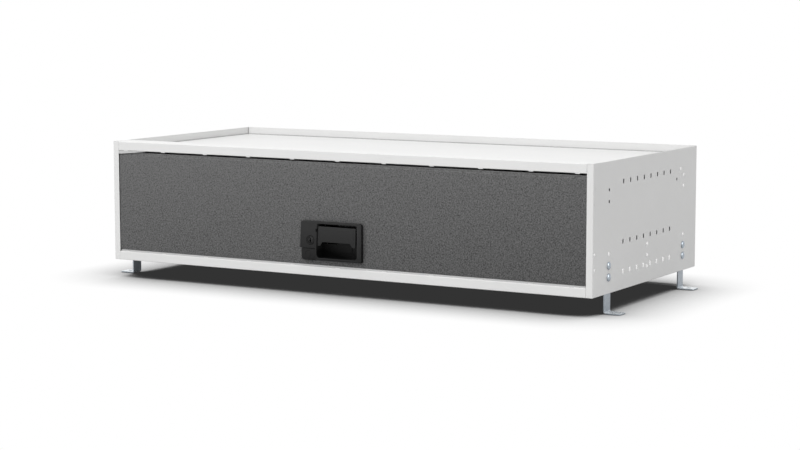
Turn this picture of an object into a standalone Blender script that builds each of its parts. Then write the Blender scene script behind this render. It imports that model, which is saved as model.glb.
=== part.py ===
"""Van drawer system: a low steel cabinet on four feet, with a tray top and one full-width latched drawer.

Lengths are metres. The pieces are laid out in the cabinet's own frame: x from the middle of the width, y back
from the front faces of the shell, z up from the shell's underside. An empty places that frame so that the
origin lies under the middle of the whole object, at the soles of the feet.
"""
import math

import bmesh
import bpy
from mathutils import Matrix, Vector

# The shell
SHELL_WIDTH = 1.250
SHELL_DEPTH = 0.570
SHELL_HEIGHT = 0.282
FOOT_DROP = 0.042
SHEET = 0.0015
BEND_INSIDE = 0.0010
BEND_STEPS = 3
SEAT_GAP = 0.0003
CUT_OVERRUN = 0.002
ROUND_PROFILE_SHARE = 0.5

# The side panels, from the outer face inwards
SIDE_FLANGE = 0.0152
SIDE_FLANGE_AT_RAIL = 0.0133
SIDE_BOTTOM_FLANGE = 0.0115
TOP_NOTCH_DEPTH = 0.0365
TOP_NOTCH_WIDTH = 0.0030
TOP_NOTCH_DROP = 0.0015

# Holes in the side panels
HOLE_DIAMETER = 0.0070
PILOT_DIAMETER = 0.0030
HOLE_PITCH = 0.025
LOWEST_HOLE_HEIGHT = 0.035
SLOT_WIDTH = 0.0060
SLOT_HEIGHT = 0.0105
SLOT_CORNER = 0.0020
SLOT_PITCH = 0.037
FIRST_SLOT_DEPTH = 0.1545
LAST_SLOT_FROM_REAR = 0.1565
LOWER_SLOT_ROWS = (0.0395, 0.1045)
UPPER_SLOT_ROW_DROP = 0.048
UPPER_HOLE_DROPS = (0.0855, 0.0605)
REAR_EXTRA_HOLES_FROM_REAR_AND_TOP = ((0.097, 0.0458), (0.118, 0.068))
PILOT_DEPTH = 0.0075
LOWER_PILOT_HEIGHTS = (0.0585, 0.0918)
UPPER_PILOT_DROPS = (0.086, 0.0525)
HOLES_ABOVE_FOOT = 3
HOLE_SIDES = 8
PILOT_SIDES = 6
BORE_SIDES = 12

# The rails across the front
RAIL_FACE = 0.0203
TOP_RAIL_DEPTH = 0.060
TOP_RAIL_LIP = 0.014
BOTTOM_RAIL_DEPTH = 0.040
RAIL_BEND_INSIDE = 0.0015
SILL_DEPTH = 0.0030
SILL_CLEARANCE = 0.0006
SILL_END_INSET = 0.017
TAB_WIDTH = 0.0115
TAB_REACH = 0.0016
TAB_PITCH = 0.120
END_TAB_INSET = 0.037
LEAST_TAB_SPACING = 0.040
TAB_THICKNESS = 0.0012

# The tray and the rear panel
TRAY_SINK = 0.0175
TRAY_GROOVE = 0.0035
TRAY_FLANGE = 0.020
TRAY_FRONT = 0.016
TRAY_TAB_WIDTH = 0.012
TRAY_TAB_DROP = 0.0020
FRONT_TRAY_TAB_DEPTH = 0.060
REAR_TRAY_TAB_FROM_REAR = 0.054
REAR_SIDE_FLANGE = 0.106
REAR_SIDE_FLANGE_DROP = 0.039
REAR_BOTTOM_FLANGE = 0.022
REAR_HOLE_DIAMETER = 0.0035
REAR_HOLE_DROP = 0.008
REAR_HOLE_PITCH = 0.225
REAR_HOLE_INSET = 0.033

# The feet and their bolts
FOOT_STRAP_WIDTH = 0.030
FOOT_STRAP_THICKNESS = 0.003
FOOT_BEND_INSIDE = 0.003
FOOT_BEND_STEPS = 5
FOOT_REACH = 0.037
FOOT_HOLE_DIAMETER = 0.009
FOOT_HOLE_REACH = 0.0165
FOOT_STRAP_TOP = 0.095
FRONT_FOOT_DEPTH = 0.0805
REAR_FOOT_FROM_REAR = 0.0785
FOOT_SLOT_CLEARANCE = 0.0008
BOLT_DIAMETER = 0.0060
BOLT_HEAD_DIAMETER = 0.0165
BOLT_HEAD_RISE = 0.0036
BOLT_LENGTH = 0.0120
BOLT_SIDES = 16
BOLT_DOME_STEPS = 4
NUT_ACROSS_FLATS = 0.010
NUT_HEIGHT = 0.005
NUT_BORE_DIAMETER = 0.0066
NUT_CHAMFER = 0.0006

# The slide channels
CHANNEL_DEPTH = 0.0109
CHANNEL_LIP = 0.014
CHANNEL_HEIGHT = 0.066
CHANNEL_FRONT = 0.104
CHANNEL_REAR_CLEARANCE = 0.0047

# The telescopic slides, insets counted from the outer face of the shell
SLIDE_AXIS_HEIGHT = 0.060
SLIDE_FRONT = 0.024
SLIDE_REAR_ROOM = 0.026
SLIDE_TRAVEL_LOSS = 0.020
SLIDE_THICKNESS = 0.019
MEMBER_SHEET = 0.0018
MEMBER_BEND_INSIDE = 0.0008
MEMBER_BEND_STEPS = 2
CABINET_MEMBER_HEIGHT = 0.070
MIDDLE_MEMBER_HEIGHT = 0.0572
DRAWER_MEMBER_HEIGHT = 0.0444
MIDDLE_MEMBER_INSET = 0.0042
DRAWER_MEMBER_DEPTH = 0.0095
MEMBER_MOUTH_CLEARANCE = 0.0010
MEMBER_LIP = 0.0045
CAGE_SHEET = 0.0010
CAGE_END_MARGIN = 0.010
CAGE_MOUTH_CLEARANCE = 0.0007
BALL_DIAMETER = 0.0040
BALLS_IN_ROW = 4
BALL_SEGMENTS = 6
BALL_RINGS = 4

# The drawer front
DRAWER_RECESS = 0.0020
DRAWER_FRONT_THICKNESS = 0.016
DRAWER_FRONT_BOTTOM = 0.0251
DRAWER_FRONT_TOP_GAP = 0.026
DRAWER_SIDE_CLEARANCE = 0.0015
DRAWER_FRONT_ROUND = 0.0035
DRAWER_FRONT_ROUND_STEPS = 3

# The drawer box
BOX_BOTTOM = 0.032
BOX_TOP_DROP = 0.008
BOX_REAR_ROOM = 0.030
BOX_FLANGE = 0.012
BOX_SHEET = 0.0015
SCREW_DIAMETER = 0.0045
SCREW_HOLE_DIAMETER = 0.0053
SCREW_HEAD_DIAMETER = 0.009
SCREW_HEAD_HEIGHT = 0.0022
SCREW_LENGTH = 0.0060
SCREW_INSET = 0.056
SCREW_SIDES = 12

# The latch housing, with offsets from the middle of its recess
LATCH_CENTRE = 0.0012
LATCH_PROUD = 0.0087
HOUSING_LEFT = 0.0967
HOUSING_RIGHT = 0.0657
HOUSING_BOTTOM = 0.0355
HOUSING_TOP = 0.124
HOUSING_CORNER = 0.003
HOUSING_EDGE_ROUND = 0.0010
HOUSING_ROUND_STEPS = 2
RECESS_LEFT = 0.0535
RECESS_RIGHT = 0.0535
RECESS_BOTTOM = 0.0419
RECESS_TOP = 0.1193
RECESS_DEPTH = 0.0252
RECESS_LOW_CORNER = 0.008
RECESS_HIGH_CORNER = 0.0025
RECESS_CORNER_STEPS = 4
BUCKET_WALL = 0.002
BACK_WALL_TOP = 0.072
ARM_SLOT_WIDTH = 0.016
ARM_SLOT_BOTTOM = 0.055
BLOCK_RIGHT = 0.0564
BLOCK_TOP = 0.063
BLOCK_DROP = 0.0030
BLOCK_SIDE_STEP = 0.0022
PANEL_CUT_CLEARANCE = 0.0004

# The paddle and its pin, spring and arms
PADDLE_RECESS = 0.0015
PADDLE_SHEET = 0.003
PADDLE_SIDE_CLEARANCE = 0.0045
PADDLE_TOP = 0.1132
PADDLE_EDGE = 0.078
PADDLE_LEG_BOTTOM = 0.070
PADDLE_LEG = 0.0105
PADDLE_LEG_SLOPE = 0.005
PADDLE_LEG_CORNER = 0.0015
PADDLE_ROUND = 0.0006
PADDLE_PIN_HEIGHT = 0.108
PADDLE_PIN_DEPTH = 0.001
PADDLE_PIN_DIAMETER = 0.003
PADDLE_PIN_HOLE = 0.0038
PADDLE_PIN_BEARING = 0.0014
PADDLE_EAR = 0.004
PADDLE_EAR_INSET = 0.0015
PADDLE_EAR_RADIUS = 0.0040
ARM_THICKNESS = 0.0025
ARM_SPACING = 0.0052
ARM_ROOT_TOP = 0.100
ARM_ROOT_BOTTOM = 0.086
ARM_TIP_TOP = 0.083
ARM_TIP_BOTTOM = 0.0765
ARM_TIP_DEPTH = 0.037
CROSS_BAR_DEPTH = 0.034
CROSS_BAR_HEIGHT = 0.080
CROSS_BAR_DIAMETER = 0.0032
PADDLE_SPRING_WIRE = 0.0008
PADDLE_SPRING_COIL = 0.0046
PADDLE_SPRING_TURNS = 5
PADDLE_SPRING_PITCH = 0.0012
PADDLE_SPRING_OFFSET = 0.032
SPRING_POINTS_IN_TURN = 8

# The latch pawl, with offsets from its pin
PAWL_PIN_DEPTH = 0.030
PAWL_PIN_HEIGHT = 0.050
PAWL_PIN_DIAMETER = 0.004
PAWL_PIN_HOLE = 0.0048
PAWL_THICKNESS = 0.005
PAWL_HUB = 0.005
PAWL_ARM_HALF = 0.002
PAWL_ARM_LENGTH = 0.033
HOOK_FACE = 0.0133
HOOK_REAR = 0.019
HOOK_DROP = 0.026
HOOK_RAMP = 0.007
HOOK_RAMP_RUN = 0.004
BRACKET_SHEET = 0.002
BRACKET_HALF_WIDTH = 0.011
BRACKET_BOTTOM = 0.040
BRACKET_BASE_TOP = 0.052
BRACKET_TOP = 0.058
BRACKET_REACH = 0.0172
PAWL_SPRING_WIRE = 0.0010
PAWL_SPRING_COIL = 0.0064
PAWL_SPRING_TURNS = 4
PAWL_SPRING_PITCH = 0.0012
STRIKE_SHEET = 0.0015
STRIKE_HALF_WIDTH = 0.020
STRIKE_FRONT = 0.018
STRIKE_TOP = 0.029
STRIKE_HOOK_CLEARANCE = 0.0018

# The lock
LOCK_OFFSET = 0.0692
LOCK_HEIGHT = 0.081
LOCK_RING_DIAMETER = 0.020
LOCK_RING_THICKNESS = 0.0015
LOCK_BODY_DIAMETER = 0.018
LOCK_PLUG_DIAMETER = 0.0135
LOCK_FIT = 0.0003
LOCK_REAR_DEPTH = 0.0236
LOCK_PLUG_RECESS = 0.0004
LOCK_SIDES = 24
KEY_SLIT_WIDTH = 0.0016
KEY_SLIT_HEIGHT = 0.0085
KEY_SLIT_DEPTH = 0.010
CAM_THICKNESS = 0.002
CAM_LENGTH = 0.022
CAM_WIDTH = 0.010

# Finishes: colour, roughness, metallic
FINISHES = {
    "white_coat": ((0.76, 0.76, 0.755, 1.0), 0.45, 0.0),
    "zinc": ((0.50, 0.54, 0.58, 1.0), 0.35, 1.0),
    "bright_steel": ((0.60, 0.61, 0.62, 1.0), 0.30, 1.0),
    "grained_grey": ((0.125, 0.125, 0.128, 1.0), 0.75, 0.0),
    "black_plastic": ((0.030, 0.030, 0.032, 1.0), 0.50, 0.0),
    "spring_steel": ((0.35, 0.35, 0.36, 1.0), 0.35, 1.0),
}

LEFT, RIGHT = -1, 1
SIDES = {"left": LEFT, "right": RIGHT}
FULL_TURN = 2 * math.pi


def clear_scene():
    for leftover in list(bpy.data.objects):
        bpy.data.objects.remove(leftover, do_unlink=True)


def finish(name, kind):
    """A Principled material of the named kind, for one piece."""
    colour, roughness, metallic = FINISHES[kind]
    material = bpy.data.materials.new(name + "_finish")
    material.use_nodes = True
    shader = material.node_tree.nodes["Principled BSDF"]
    shader.inputs["Base Color"].default_value = colour
    shader.inputs["Roughness"].default_value = roughness
    shader.inputs["Metallic"].default_value = metallic
    material.diffuse_color = colour
    return material


def link(thing):
    bpy.context.scene.collection.objects.link(thing)
    return thing


def axis_empty(name, place, parent):
    """An empty on a joint's axis. Its place is in the cabinet's frame."""
    empty = link(bpy.data.objects.new(name, None))
    empty.parent = parent
    empty.location = place
    return empty


def add_part(name, shape, kind, carrier):
    """Makes the piece from a bmesh laid out in the cabinet's frame, carried by an empty."""
    shape.normal_update()
    bmesh.ops.recalc_face_normals(shape, faces=shape.faces[:])
    mesh = bpy.data.meshes.new(name)
    shape.to_mesh(mesh)
    shape.free()
    mesh.materials.append(finish(name, kind))
    part = link(bpy.data.objects.new(name, mesh))
    carry(part, carrier)
    return part


def carry(part, carrier):
    part.parent = carrier
    if carrier.parent:
        part.matrix_parent_inverse = Matrix.Translation(-carrier.location)


def add_cutter(name, shape, carrier):
    """A hidden shape for a Boolean."""
    shape.normal_update()
    bmesh.ops.recalc_face_normals(shape, faces=shape.faces[:])
    mesh = bpy.data.meshes.new(name)
    shape.to_mesh(mesh)
    shape.free()
    cutter = link(bpy.data.objects.new(name, mesh))
    carry(cutter, carrier)
    cutter.hide_render = True
    cutter.display_type = "WIRE"
    return cutter


def combine(part, shape, operation):
    """Adds an exact Boolean of the shape to the part."""
    tool = add_cutter(f"{part.name}_{operation.lower()}_{len(part.modifiers)}", shape, part.parent)
    step = part.modifiers.new(operation.title(), "BOOLEAN")
    step.operation = operation
    step.solver = "EXACT"
    step.object = tool


def cut(part, shape):
    combine(part, shape, "DIFFERENCE")


def join(part, shape):
    combine(part, shape, "UNION")


def add_block(shape, low, high):
    """Adds a box between two corners and returns its vertices."""
    low, high = Vector(map(min, low, high)), Vector(map(max, low, high))
    size = high - low
    matrix = Matrix.Translation((low + high) / 2) @ Matrix.Diagonal((*size, 1))
    return bmesh.ops.create_cube(shape, size=1, matrix=matrix)["verts"]


def block(low, high):
    shape = bmesh.new()
    add_block(shape, low, high)
    return shape


def round_edges(shape, radius, steps, chosen):
    """Bevels the edges for which chosen(start, end) holds."""
    edges = [edge for edge in shape.edges if chosen(edge.verts[0].co, edge.verts[1].co)]
    bmesh.ops.bevel(
        shape,
        geom=edges,
        offset=radius,
        segments=steps,
        profile=ROUND_PROFILE_SHARE,
        affect="EDGES",
        material=-1,
    )


def add_prism(shape, outline, sweep, at):
    """Adds the outline, whose points at(u, v) turns into places, extruded along the sweep."""
    ring = [shape.verts.new(at(u, v)) for u, v in outline]
    face = shape.faces.new(ring)
    moved = bmesh.ops.extrude_face_region(shape, geom=[face])["geom"]
    corners = [item for item in moved if isinstance(item, bmesh.types.BMVert)]
    bmesh.ops.translate(shape, verts=corners, vec=Vector(sweep))
    return shape


def along_x(shape, outline, start, end):
    """An outline of (y, z) points, extruded from x = start to x = end."""
    return add_prism(shape, outline, (end - start, 0, 0), lambda y, z: (start, y, z))


def along_y(shape, outline, start, end):
    """An outline of (x, z) points, extruded from y = start to y = end."""
    return add_prism(shape, outline, (0, end - start, 0), lambda x, z: (x, start, z))


def add_round(shape, axis, centre, diameter, length, sides):
    """Adds a cylinder about its centre, along x or y."""
    if axis == "x":
        turn = Matrix.Rotation(math.pi / 2, 4, "Y")
    else:
        turn = Matrix.Rotation(math.pi / 2, 4, "X")
    bmesh.ops.create_cone(
        shape,
        cap_ends=True,
        segments=sides,
        radius1=diameter / 2,
        radius2=diameter / 2,
        depth=length,
        matrix=Matrix.Translation(centre) @ turn,
    )
    return shape


def turned(outline, centre, direction, sides):
    """Spins (radius, height) points, which start and end on the axis, about an x axis through the centre."""
    shape = bmesh.new()
    points = [shape.verts.new((direction * height, 0, radius)) for radius, height in outline]
    edges = [shape.edges.new(pair) for pair in zip(points, points[1:])]
    bmesh.ops.spin(
        shape,
        geom=points + edges,
        cent=(0, 0, 0),
        axis=(1, 0, 0),
        angle=FULL_TURN,
        steps=sides,
        use_merge=True,
    )
    bmesh.ops.remove_doubles(shape, verts=shape.verts[:], dist=SEAT_GAP / 10)
    bmesh.ops.translate(shape, verts=shape.verts[:], vec=Vector(centre))
    return shape


def folded(path, sheet, inside, steps):
    """Outline of a sheet folded along a path through the middle of its thickness, with round bends."""
    points = [Vector(point) for point in path]
    radius = inside + sheet / 2
    samples = []

    def sample(place, heading):
        across = Vector((-heading.y, heading.x))
        samples.append((place, across))

    sample(points[0], (points[1] - points[0]).normalized())
    for before, corner, after in zip(points, points[1:], points[2:]):
        start = (corner - before).normalized()
        end = (after - corner).normalized()
        turn = math.atan2(start.cross(end), start.dot(end))
        reach = radius * math.tan(abs(turn) / 2)
        inward = Vector((-start.y, start.x)) * math.copysign(1, turn)
        centre = corner - start * reach + inward * radius
        for step in range(steps + 1):
            swing = Matrix.Rotation(turn * step / steps, 2)
            sample(centre + swing @ (-inward * radius), swing @ start)
    sample(points[-1], (points[-1] - points[-2]).normalized())
    left = [place + across * sheet / 2 for place, across in samples]
    right = [place - across * sheet / 2 for place, across in samples]
    return [tuple(point) for point in left + right[::-1]]


def rounded_rectangle(low, high, radii, steps):
    """Outline with its own radius at the low left, low right, high right and high left corner."""
    corners = ((low[0], low[1]), (high[0], low[1]), (high[0], high[1]), (low[0], high[1]))
    outline = []
    for index, ((x, z), radius) in enumerate(zip(corners, radii)):
        toward_x = 1 if x == low[0] else -1
        toward_z = 1 if z == low[1] else -1
        for step in range(steps + 1):
            angle = math.pi + (index + step / steps) * math.pi / 2
            centre = (x + toward_x * radius, z + toward_z * radius)
            outline.append((centre[0] + radius * math.cos(angle), centre[1] + radius * math.sin(angle)))
    return outline


def inset_x(side, inset):
    """The x of a place that lies this far in from the shell's outer face."""
    return side * (SHELL_WIDTH / 2 - inset)


def side_outline(side, outline):
    """Turns an outline of (inset, z) points into one of (x, z) points."""
    return [(inset_x(side, inset), z) for inset, z in outline]


def slot_outline(depth, height):
    """A slot in a side panel, as (y, z) points with its corners cut off."""
    half_width, half_height = SLOT_WIDTH / 2, SLOT_HEIGHT / 2
    shoulder_y, shoulder_z = half_width - SLOT_CORNER, half_height - SLOT_CORNER
    quarter = ((half_width, shoulder_z), (shoulder_y, half_height))
    right = [(y, z) for y, z in quarter]
    left = [(-y, z) for y, z in reversed(quarter)]
    upper = right + left
    lower = [(y, -z) for y, z in reversed(upper)]
    return [(depth + y, height + z) for y, z in upper + lower]


def foot_depths():
    """Depth of the middle of the front and of the rear foot."""
    return {"front": FRONT_FOOT_DEPTH, "rear": SHELL_DEPTH - REAR_FOOT_FROM_REAR}


def middle_depth():
    """Halfway between the feet."""
    return sum(foot_depths().values()) / 2


def bolt_places():
    """Each cup-head bolt's words and its depth and height."""
    for end, depth in foot_depths().items():
        for level, step in (("lower", 0), ("upper", 1)):
            yield end, level, depth, LOWEST_HOLE_HEIGHT + step * HOLE_PITCH


def strap_inset(end):
    """Where a foot's strap starts: the rear one lies inside the rear panel's side flange."""
    layers = 1 if end == "front" else 2
    return layers * (SHEET + SEAT_GAP)


def side_panel(name, side, frame):
    """A side panel with its front, bottom and rear flanges, cut for the rails, the feet and all its holes."""
    outer_radius = BEND_INSIDE + SHEET
    low = Vector((0, 0, 0))
    high = Vector((SIDE_FLANGE, SHELL_DEPTH, SHELL_HEIGHT))
    inner_low = low + Vector((SHEET, SHEET, SHEET))
    inner_high = high + Vector((CUT_OVERRUN, -SHEET, CUT_OVERRUN))

    def folded_box(low, high, radius):
        shape = block(low, high)

        def chosen(start, end):
            outer = start.x == end.x and math.isclose(start.x, low[0], abs_tol=SEAT_GAP / 10)
            bottom = start.z == end.z and math.isclose(start.z, low[2], abs_tol=SEAT_GAP / 10)
            front = start.y == end.y and math.isclose(start.y, low[1], abs_tol=SEAT_GAP / 10)
            rear = start.y == end.y and math.isclose(start.y, high[1], abs_tol=SEAT_GAP / 10)
            return (outer + bottom + front + rear) == 2

        round_edges(shape, radius, BEND_STEPS, chosen)
        return shape

    def on_side(shape):
        for vertex in shape.verts:
            vertex.co.x = inset_x(side, vertex.co.x)
        return shape

    panel = add_part(name, on_side(folded_box(low, high, outer_radius)), "white_coat", frame)
    cut(panel, on_side(folded_box(inner_low, inner_high, BEND_INSIDE)))

    trims = bmesh.new()
    past_flange = SIDE_FLANGE + CUT_OVERRUN
    rail_rear = SHEET + CUT_OVERRUN
    rail_top = RAIL_FACE + SEAT_GAP
    add_block(trims, (SIDE_FLANGE_AT_RAIL, -CUT_OVERRUN, SHELL_HEIGHT - rail_top),
              (past_flange, rail_rear, SHELL_HEIGHT + CUT_OVERRUN))
    cut(panel, on_side(trims))

    trims = bmesh.new()
    add_block(trims, (SIDE_FLANGE_AT_RAIL, -CUT_OVERRUN, -CUT_OVERRUN), (past_flange, rail_rear, rail_top))
    cut(panel, on_side(trims))

    trims = bmesh.new()
    add_block(trims, (SIDE_BOTTOM_FLANGE, SHEET, -CUT_OVERRUN),
              (past_flange, SHELL_DEPTH - SHEET, SHEET + CUT_OVERRUN))
    cut(panel, on_side(trims))

    openings = bmesh.new()
    for end, depth in foot_depths().items():
        half = FOOT_STRAP_WIDTH / 2 + FOOT_SLOT_CLEARANCE
        inner = strap_inset(end) + FOOT_STRAP_THICKNESS + FOOT_SLOT_CLEARANCE
        add_block(openings, (SHEET, depth - half, -CUT_OVERRUN), (inner, depth + half, SHEET + CUT_OVERRUN))
    notch_half = TOP_NOTCH_WIDTH / 2
    add_block(openings, (-CUT_OVERRUN, TOP_NOTCH_DEPTH - notch_half, SHELL_HEIGHT - TOP_NOTCH_DROP),
              (SHEET + CUT_OVERRUN, TOP_NOTCH_DEPTH + notch_half, SHELL_HEIGHT + CUT_OVERRUN))
    cut(panel, on_side(openings))

    slots = bmesh.new()
    span = SHELL_DEPTH - LAST_SLOT_FROM_REAR - FIRST_SLOT_DEPTH
    for height in (*LOWER_SLOT_ROWS, SHELL_HEIGHT - UPPER_SLOT_ROW_DROP):
        for number in range(round(span / SLOT_PITCH) + 1):
            depth = FIRST_SLOT_DEPTH + number * SLOT_PITCH
            along_x(slots, slot_outline(depth, height), -CUT_OVERRUN, SHEET + CUT_OVERRUN)
    cut(panel, on_side(slots))

    holes = bmesh.new()
    wall_middle, drill = SHEET / 2, SHEET + 2 * CUT_OVERRUN
    places = [(SHELL_DEPTH - back, SHELL_HEIGHT - drop) for back, drop in REAR_EXTRA_HOLES_FROM_REAR_AND_TOP]
    for depth in foot_depths().values():
        places += [(depth, SHELL_HEIGHT - drop) for drop in UPPER_HOLE_DROPS]
    for depth in (*foot_depths().values(), middle_depth()):
        places += [(depth, LOWEST_HOLE_HEIGHT + step * HOLE_PITCH) for step in range(HOLES_ABOVE_FOOT)]
    for depth, height in places:
        add_round(holes, "x", (wall_middle, depth, height), HOLE_DIAMETER, drill, HOLE_SIDES)
    for height in (*LOWER_PILOT_HEIGHTS, *(SHELL_HEIGHT - drop for drop in UPPER_PILOT_DROPS)):
        add_round(holes, "x", (wall_middle, PILOT_DEPTH, height), PILOT_DIAMETER, drill, PILOT_SIDES)
    cut(panel, on_side(holes))


def rail_ends():
    """The rails reach from one side panel's cut-back flange to the other's."""
    return -SHELL_WIDTH / 2 + SIDE_FLANGE_AT_RAIL + SEAT_GAP, SHELL_WIDTH / 2 - SIDE_FLANGE_AT_RAIL - SEAT_GAP


def rail_tabs(edge, direction):
    """The small tabs that stand past a rail's face, above or below it."""
    tabs = bmesh.new()
    end_tab = SHELL_WIDTH / 2 - END_TAB_INSET
    each_way = math.floor((end_tab - LEAST_TAB_SPACING) / TAB_PITCH)
    places = [number * TAB_PITCH for number in range(-each_way, each_way + 1)]
    places += [-end_tab, end_tab]
    face = (SHEET - TAB_THICKNESS) / 2
    root = edge - direction * 2 * (RAIL_BEND_INSIDE + SHEET)
    for x in places:
        add_block(tabs, (x - TAB_WIDTH / 2, face, root),
                  (x + TAB_WIDTH / 2, face + TAB_THICKNESS, edge + direction * TAB_REACH))
    return tabs


def front_top_rail(frame):
    """Face, deep top flange that reaches the side panels, a leg down to the tray, and a lip under the face."""
    half = SHEET / 2
    top, face_bottom = SHELL_HEIGHT - half, SHELL_HEIGHT - RAIL_FACE + half
    leg_end = SHELL_HEIGHT - TRAY_SINK + SEAT_GAP
    leg = TOP_RAIL_DEPTH - half
    path = ((TOP_RAIL_LIP, face_bottom), (half, face_bottom), (half, top), (leg, top), (leg, leg_end))
    rail = add_part(
        "front_top_rail",
        along_x(bmesh.new(), folded(path, SHEET, RAIL_BEND_INSIDE, BEND_STEPS), *rail_ends()),
        "white_coat",
        frame,
    )
    join(rail, rail_tabs(SHELL_HEIGHT - RAIL_FACE, -1))
    ends = bmesh.new()
    for side in SIDES.values():
        inner = inset_x(side, SIDE_FLANGE_AT_RAIL + SEAT_GAP + SHEET)
        add_block(ends, (inner, SHEET + BEND_INSIDE, SHELL_HEIGHT - SHEET),
                  (inset_x(side, SHEET + SEAT_GAP), TOP_RAIL_DEPTH - SHEET - RAIL_BEND_INSIDE, SHELL_HEIGHT))
    join(rail, ends)


def front_bottom_rail(frame):
    """A channel that opens to the rear, with a sill behind its face that closes the gap under the drawer."""
    half = SHEET / 2
    low, high = half, RAIL_FACE - half
    path = ((BOTTOM_RAIL_DEPTH, high), (half, high), (half, low), (BOTTOM_RAIL_DEPTH, low))
    rail = add_part(
        "front_bottom_rail",
        along_x(bmesh.new(), folded(path, SHEET, RAIL_BEND_INSIDE, BEND_STEPS), *rail_ends()),
        "white_coat",
        frame,
    )
    join(rail, rail_tabs(RAIL_FACE, 1))
    end = SHELL_WIDTH / 2 - SILL_END_INSET
    join(rail, block((-end, SILL_DEPTH, high), (end, SILL_DEPTH + SHEET, DRAWER_FRONT_BOTTOM - SILL_CLEARANCE)))


def rear_web_face():
    """Depth of the rear panel's inner face."""
    return SHELL_DEPTH - SHEET - SEAT_GAP - SHEET


def tray_panel(frame):
    """The sunk top, a pan open below and at the front, with tabs that reach the side panels."""
    reach = SHELL_WIDTH / 2 - SHEET - TRAY_GROOVE
    top = SHELL_HEIGHT - TRAY_SINK
    rear = rear_web_face() - TRAY_GROOVE
    low = Vector((-reach, TRAY_FRONT, top - TRAY_FLANGE))
    high = Vector((reach, rear, top))
    wall = Vector((SHEET, 0, SHEET))
    inner_low = low + Vector((SHEET, -CUT_OVERRUN, -CUT_OVERRUN))
    inner_high = high - wall - Vector((0, SHEET, 0))

    def crowned(low, high, radius):
        shape = block(low, high)

        def chosen(start, end):
            upper = min(start.z, end.z) > high.z - SEAT_GAP
            front = max(start.y, end.y) < low.y + SEAT_GAP
            return upper and not front

        round_edges(shape, radius, BEND_STEPS, chosen)
        return shape

    tray = add_part("tray_panel", crowned(low, high, BEND_INSIDE + SHEET), "white_coat", frame)
    cut(tray, crowned(inner_low, inner_high, BEND_INSIDE))
    tabs = bmesh.new()
    bend = BEND_INSIDE + SHEET
    for side in SIDES.values():
        for depth in (FRONT_TRAY_TAB_DEPTH, middle_depth(), SHELL_DEPTH - REAR_TRAY_TAB_FROM_REAR):
            corner = (inset_x(side, SHEET + SEAT_GAP), depth - TRAY_TAB_WIDTH / 2, top - bend - TRAY_TAB_DROP)
            add_block(tabs, corner, (side * (reach - SHEET / 2), depth + TRAY_TAB_WIDTH / 2, top - bend))
    join(tray, tabs)


def rear_panel(frame):
    """The back, with side flanges along the side panels and a flange at the bottom."""
    reach = SHELL_WIDTH / 2 - SHEET - SEAT_GAP
    web = rear_web_face()
    front = web - REAR_SIDE_FLANGE
    bottom = SHEET + BEND_INSIDE + SEAT_GAP
    low = Vector((-reach, front, bottom))
    high = Vector((reach, web + SHEET, SHELL_HEIGHT))

    def dished(low, high, radius):
        shape = block(low, high)

        def chosen(start, end):
            rear = min(start.y, end.y) > high.y - SEAT_GAP
            upper = min(start.z, end.z) > high.z - SEAT_GAP
            return rear and not upper

        round_edges(shape, radius, BEND_STEPS, chosen)
        return shape

    panel = add_part("rear_panel", dished(low, high, BEND_INSIDE + SHEET), "white_coat", frame)
    inner_low = low + Vector((SHEET, -CUT_OVERRUN, SHEET))
    inner_high = high + Vector((-SHEET, -SHEET, CUT_OVERRUN))
    cut(panel, dished(inner_low, inner_high, BEND_INSIDE))
    cut(panel, block((-reach - CUT_OVERRUN, front - CUT_OVERRUN, SHELL_HEIGHT - REAR_SIDE_FLANGE_DROP),
                     (reach + CUT_OVERRUN, web - BEND_INSIDE, SHELL_HEIGHT + CUT_OVERRUN)))
    inner_reach = reach - SHEET
    cut(panel, block((-inner_reach, front - CUT_OVERRUN, -CUT_OVERRUN),
                     (inner_reach, web - REAR_BOTTOM_FLANGE, bottom + SHEET + CUT_OVERRUN)))
    holes = bmesh.new()
    end_hole = SHELL_WIDTH / 2 - REAR_HOLE_INSET
    for number in range(math.ceil(end_hole / REAR_HOLE_PITCH)):
        offset = end_hole - number * REAR_HOLE_PITCH
        for side in SIDES.values():
            centre = (side * offset, web + SHEET / 2, SHELL_HEIGHT - REAR_HOLE_DROP)
            add_round(holes, "y", centre, REAR_HOLE_DIAMETER, SHEET + 2 * CUT_OVERRUN, HOLE_SIDES)
    for end, level, depth, height in bolt_places():
        if end == "rear":
            for side in SIDES.values():
                centre = (inset_x(side, SHEET + SEAT_GAP + SHEET / 2), depth, height)
                add_round(holes, "x", centre, HOLE_DIAMETER, SHEET + 2 * SEAT_GAP, HOLE_SIDES)
    cut(panel, holes)


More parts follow.
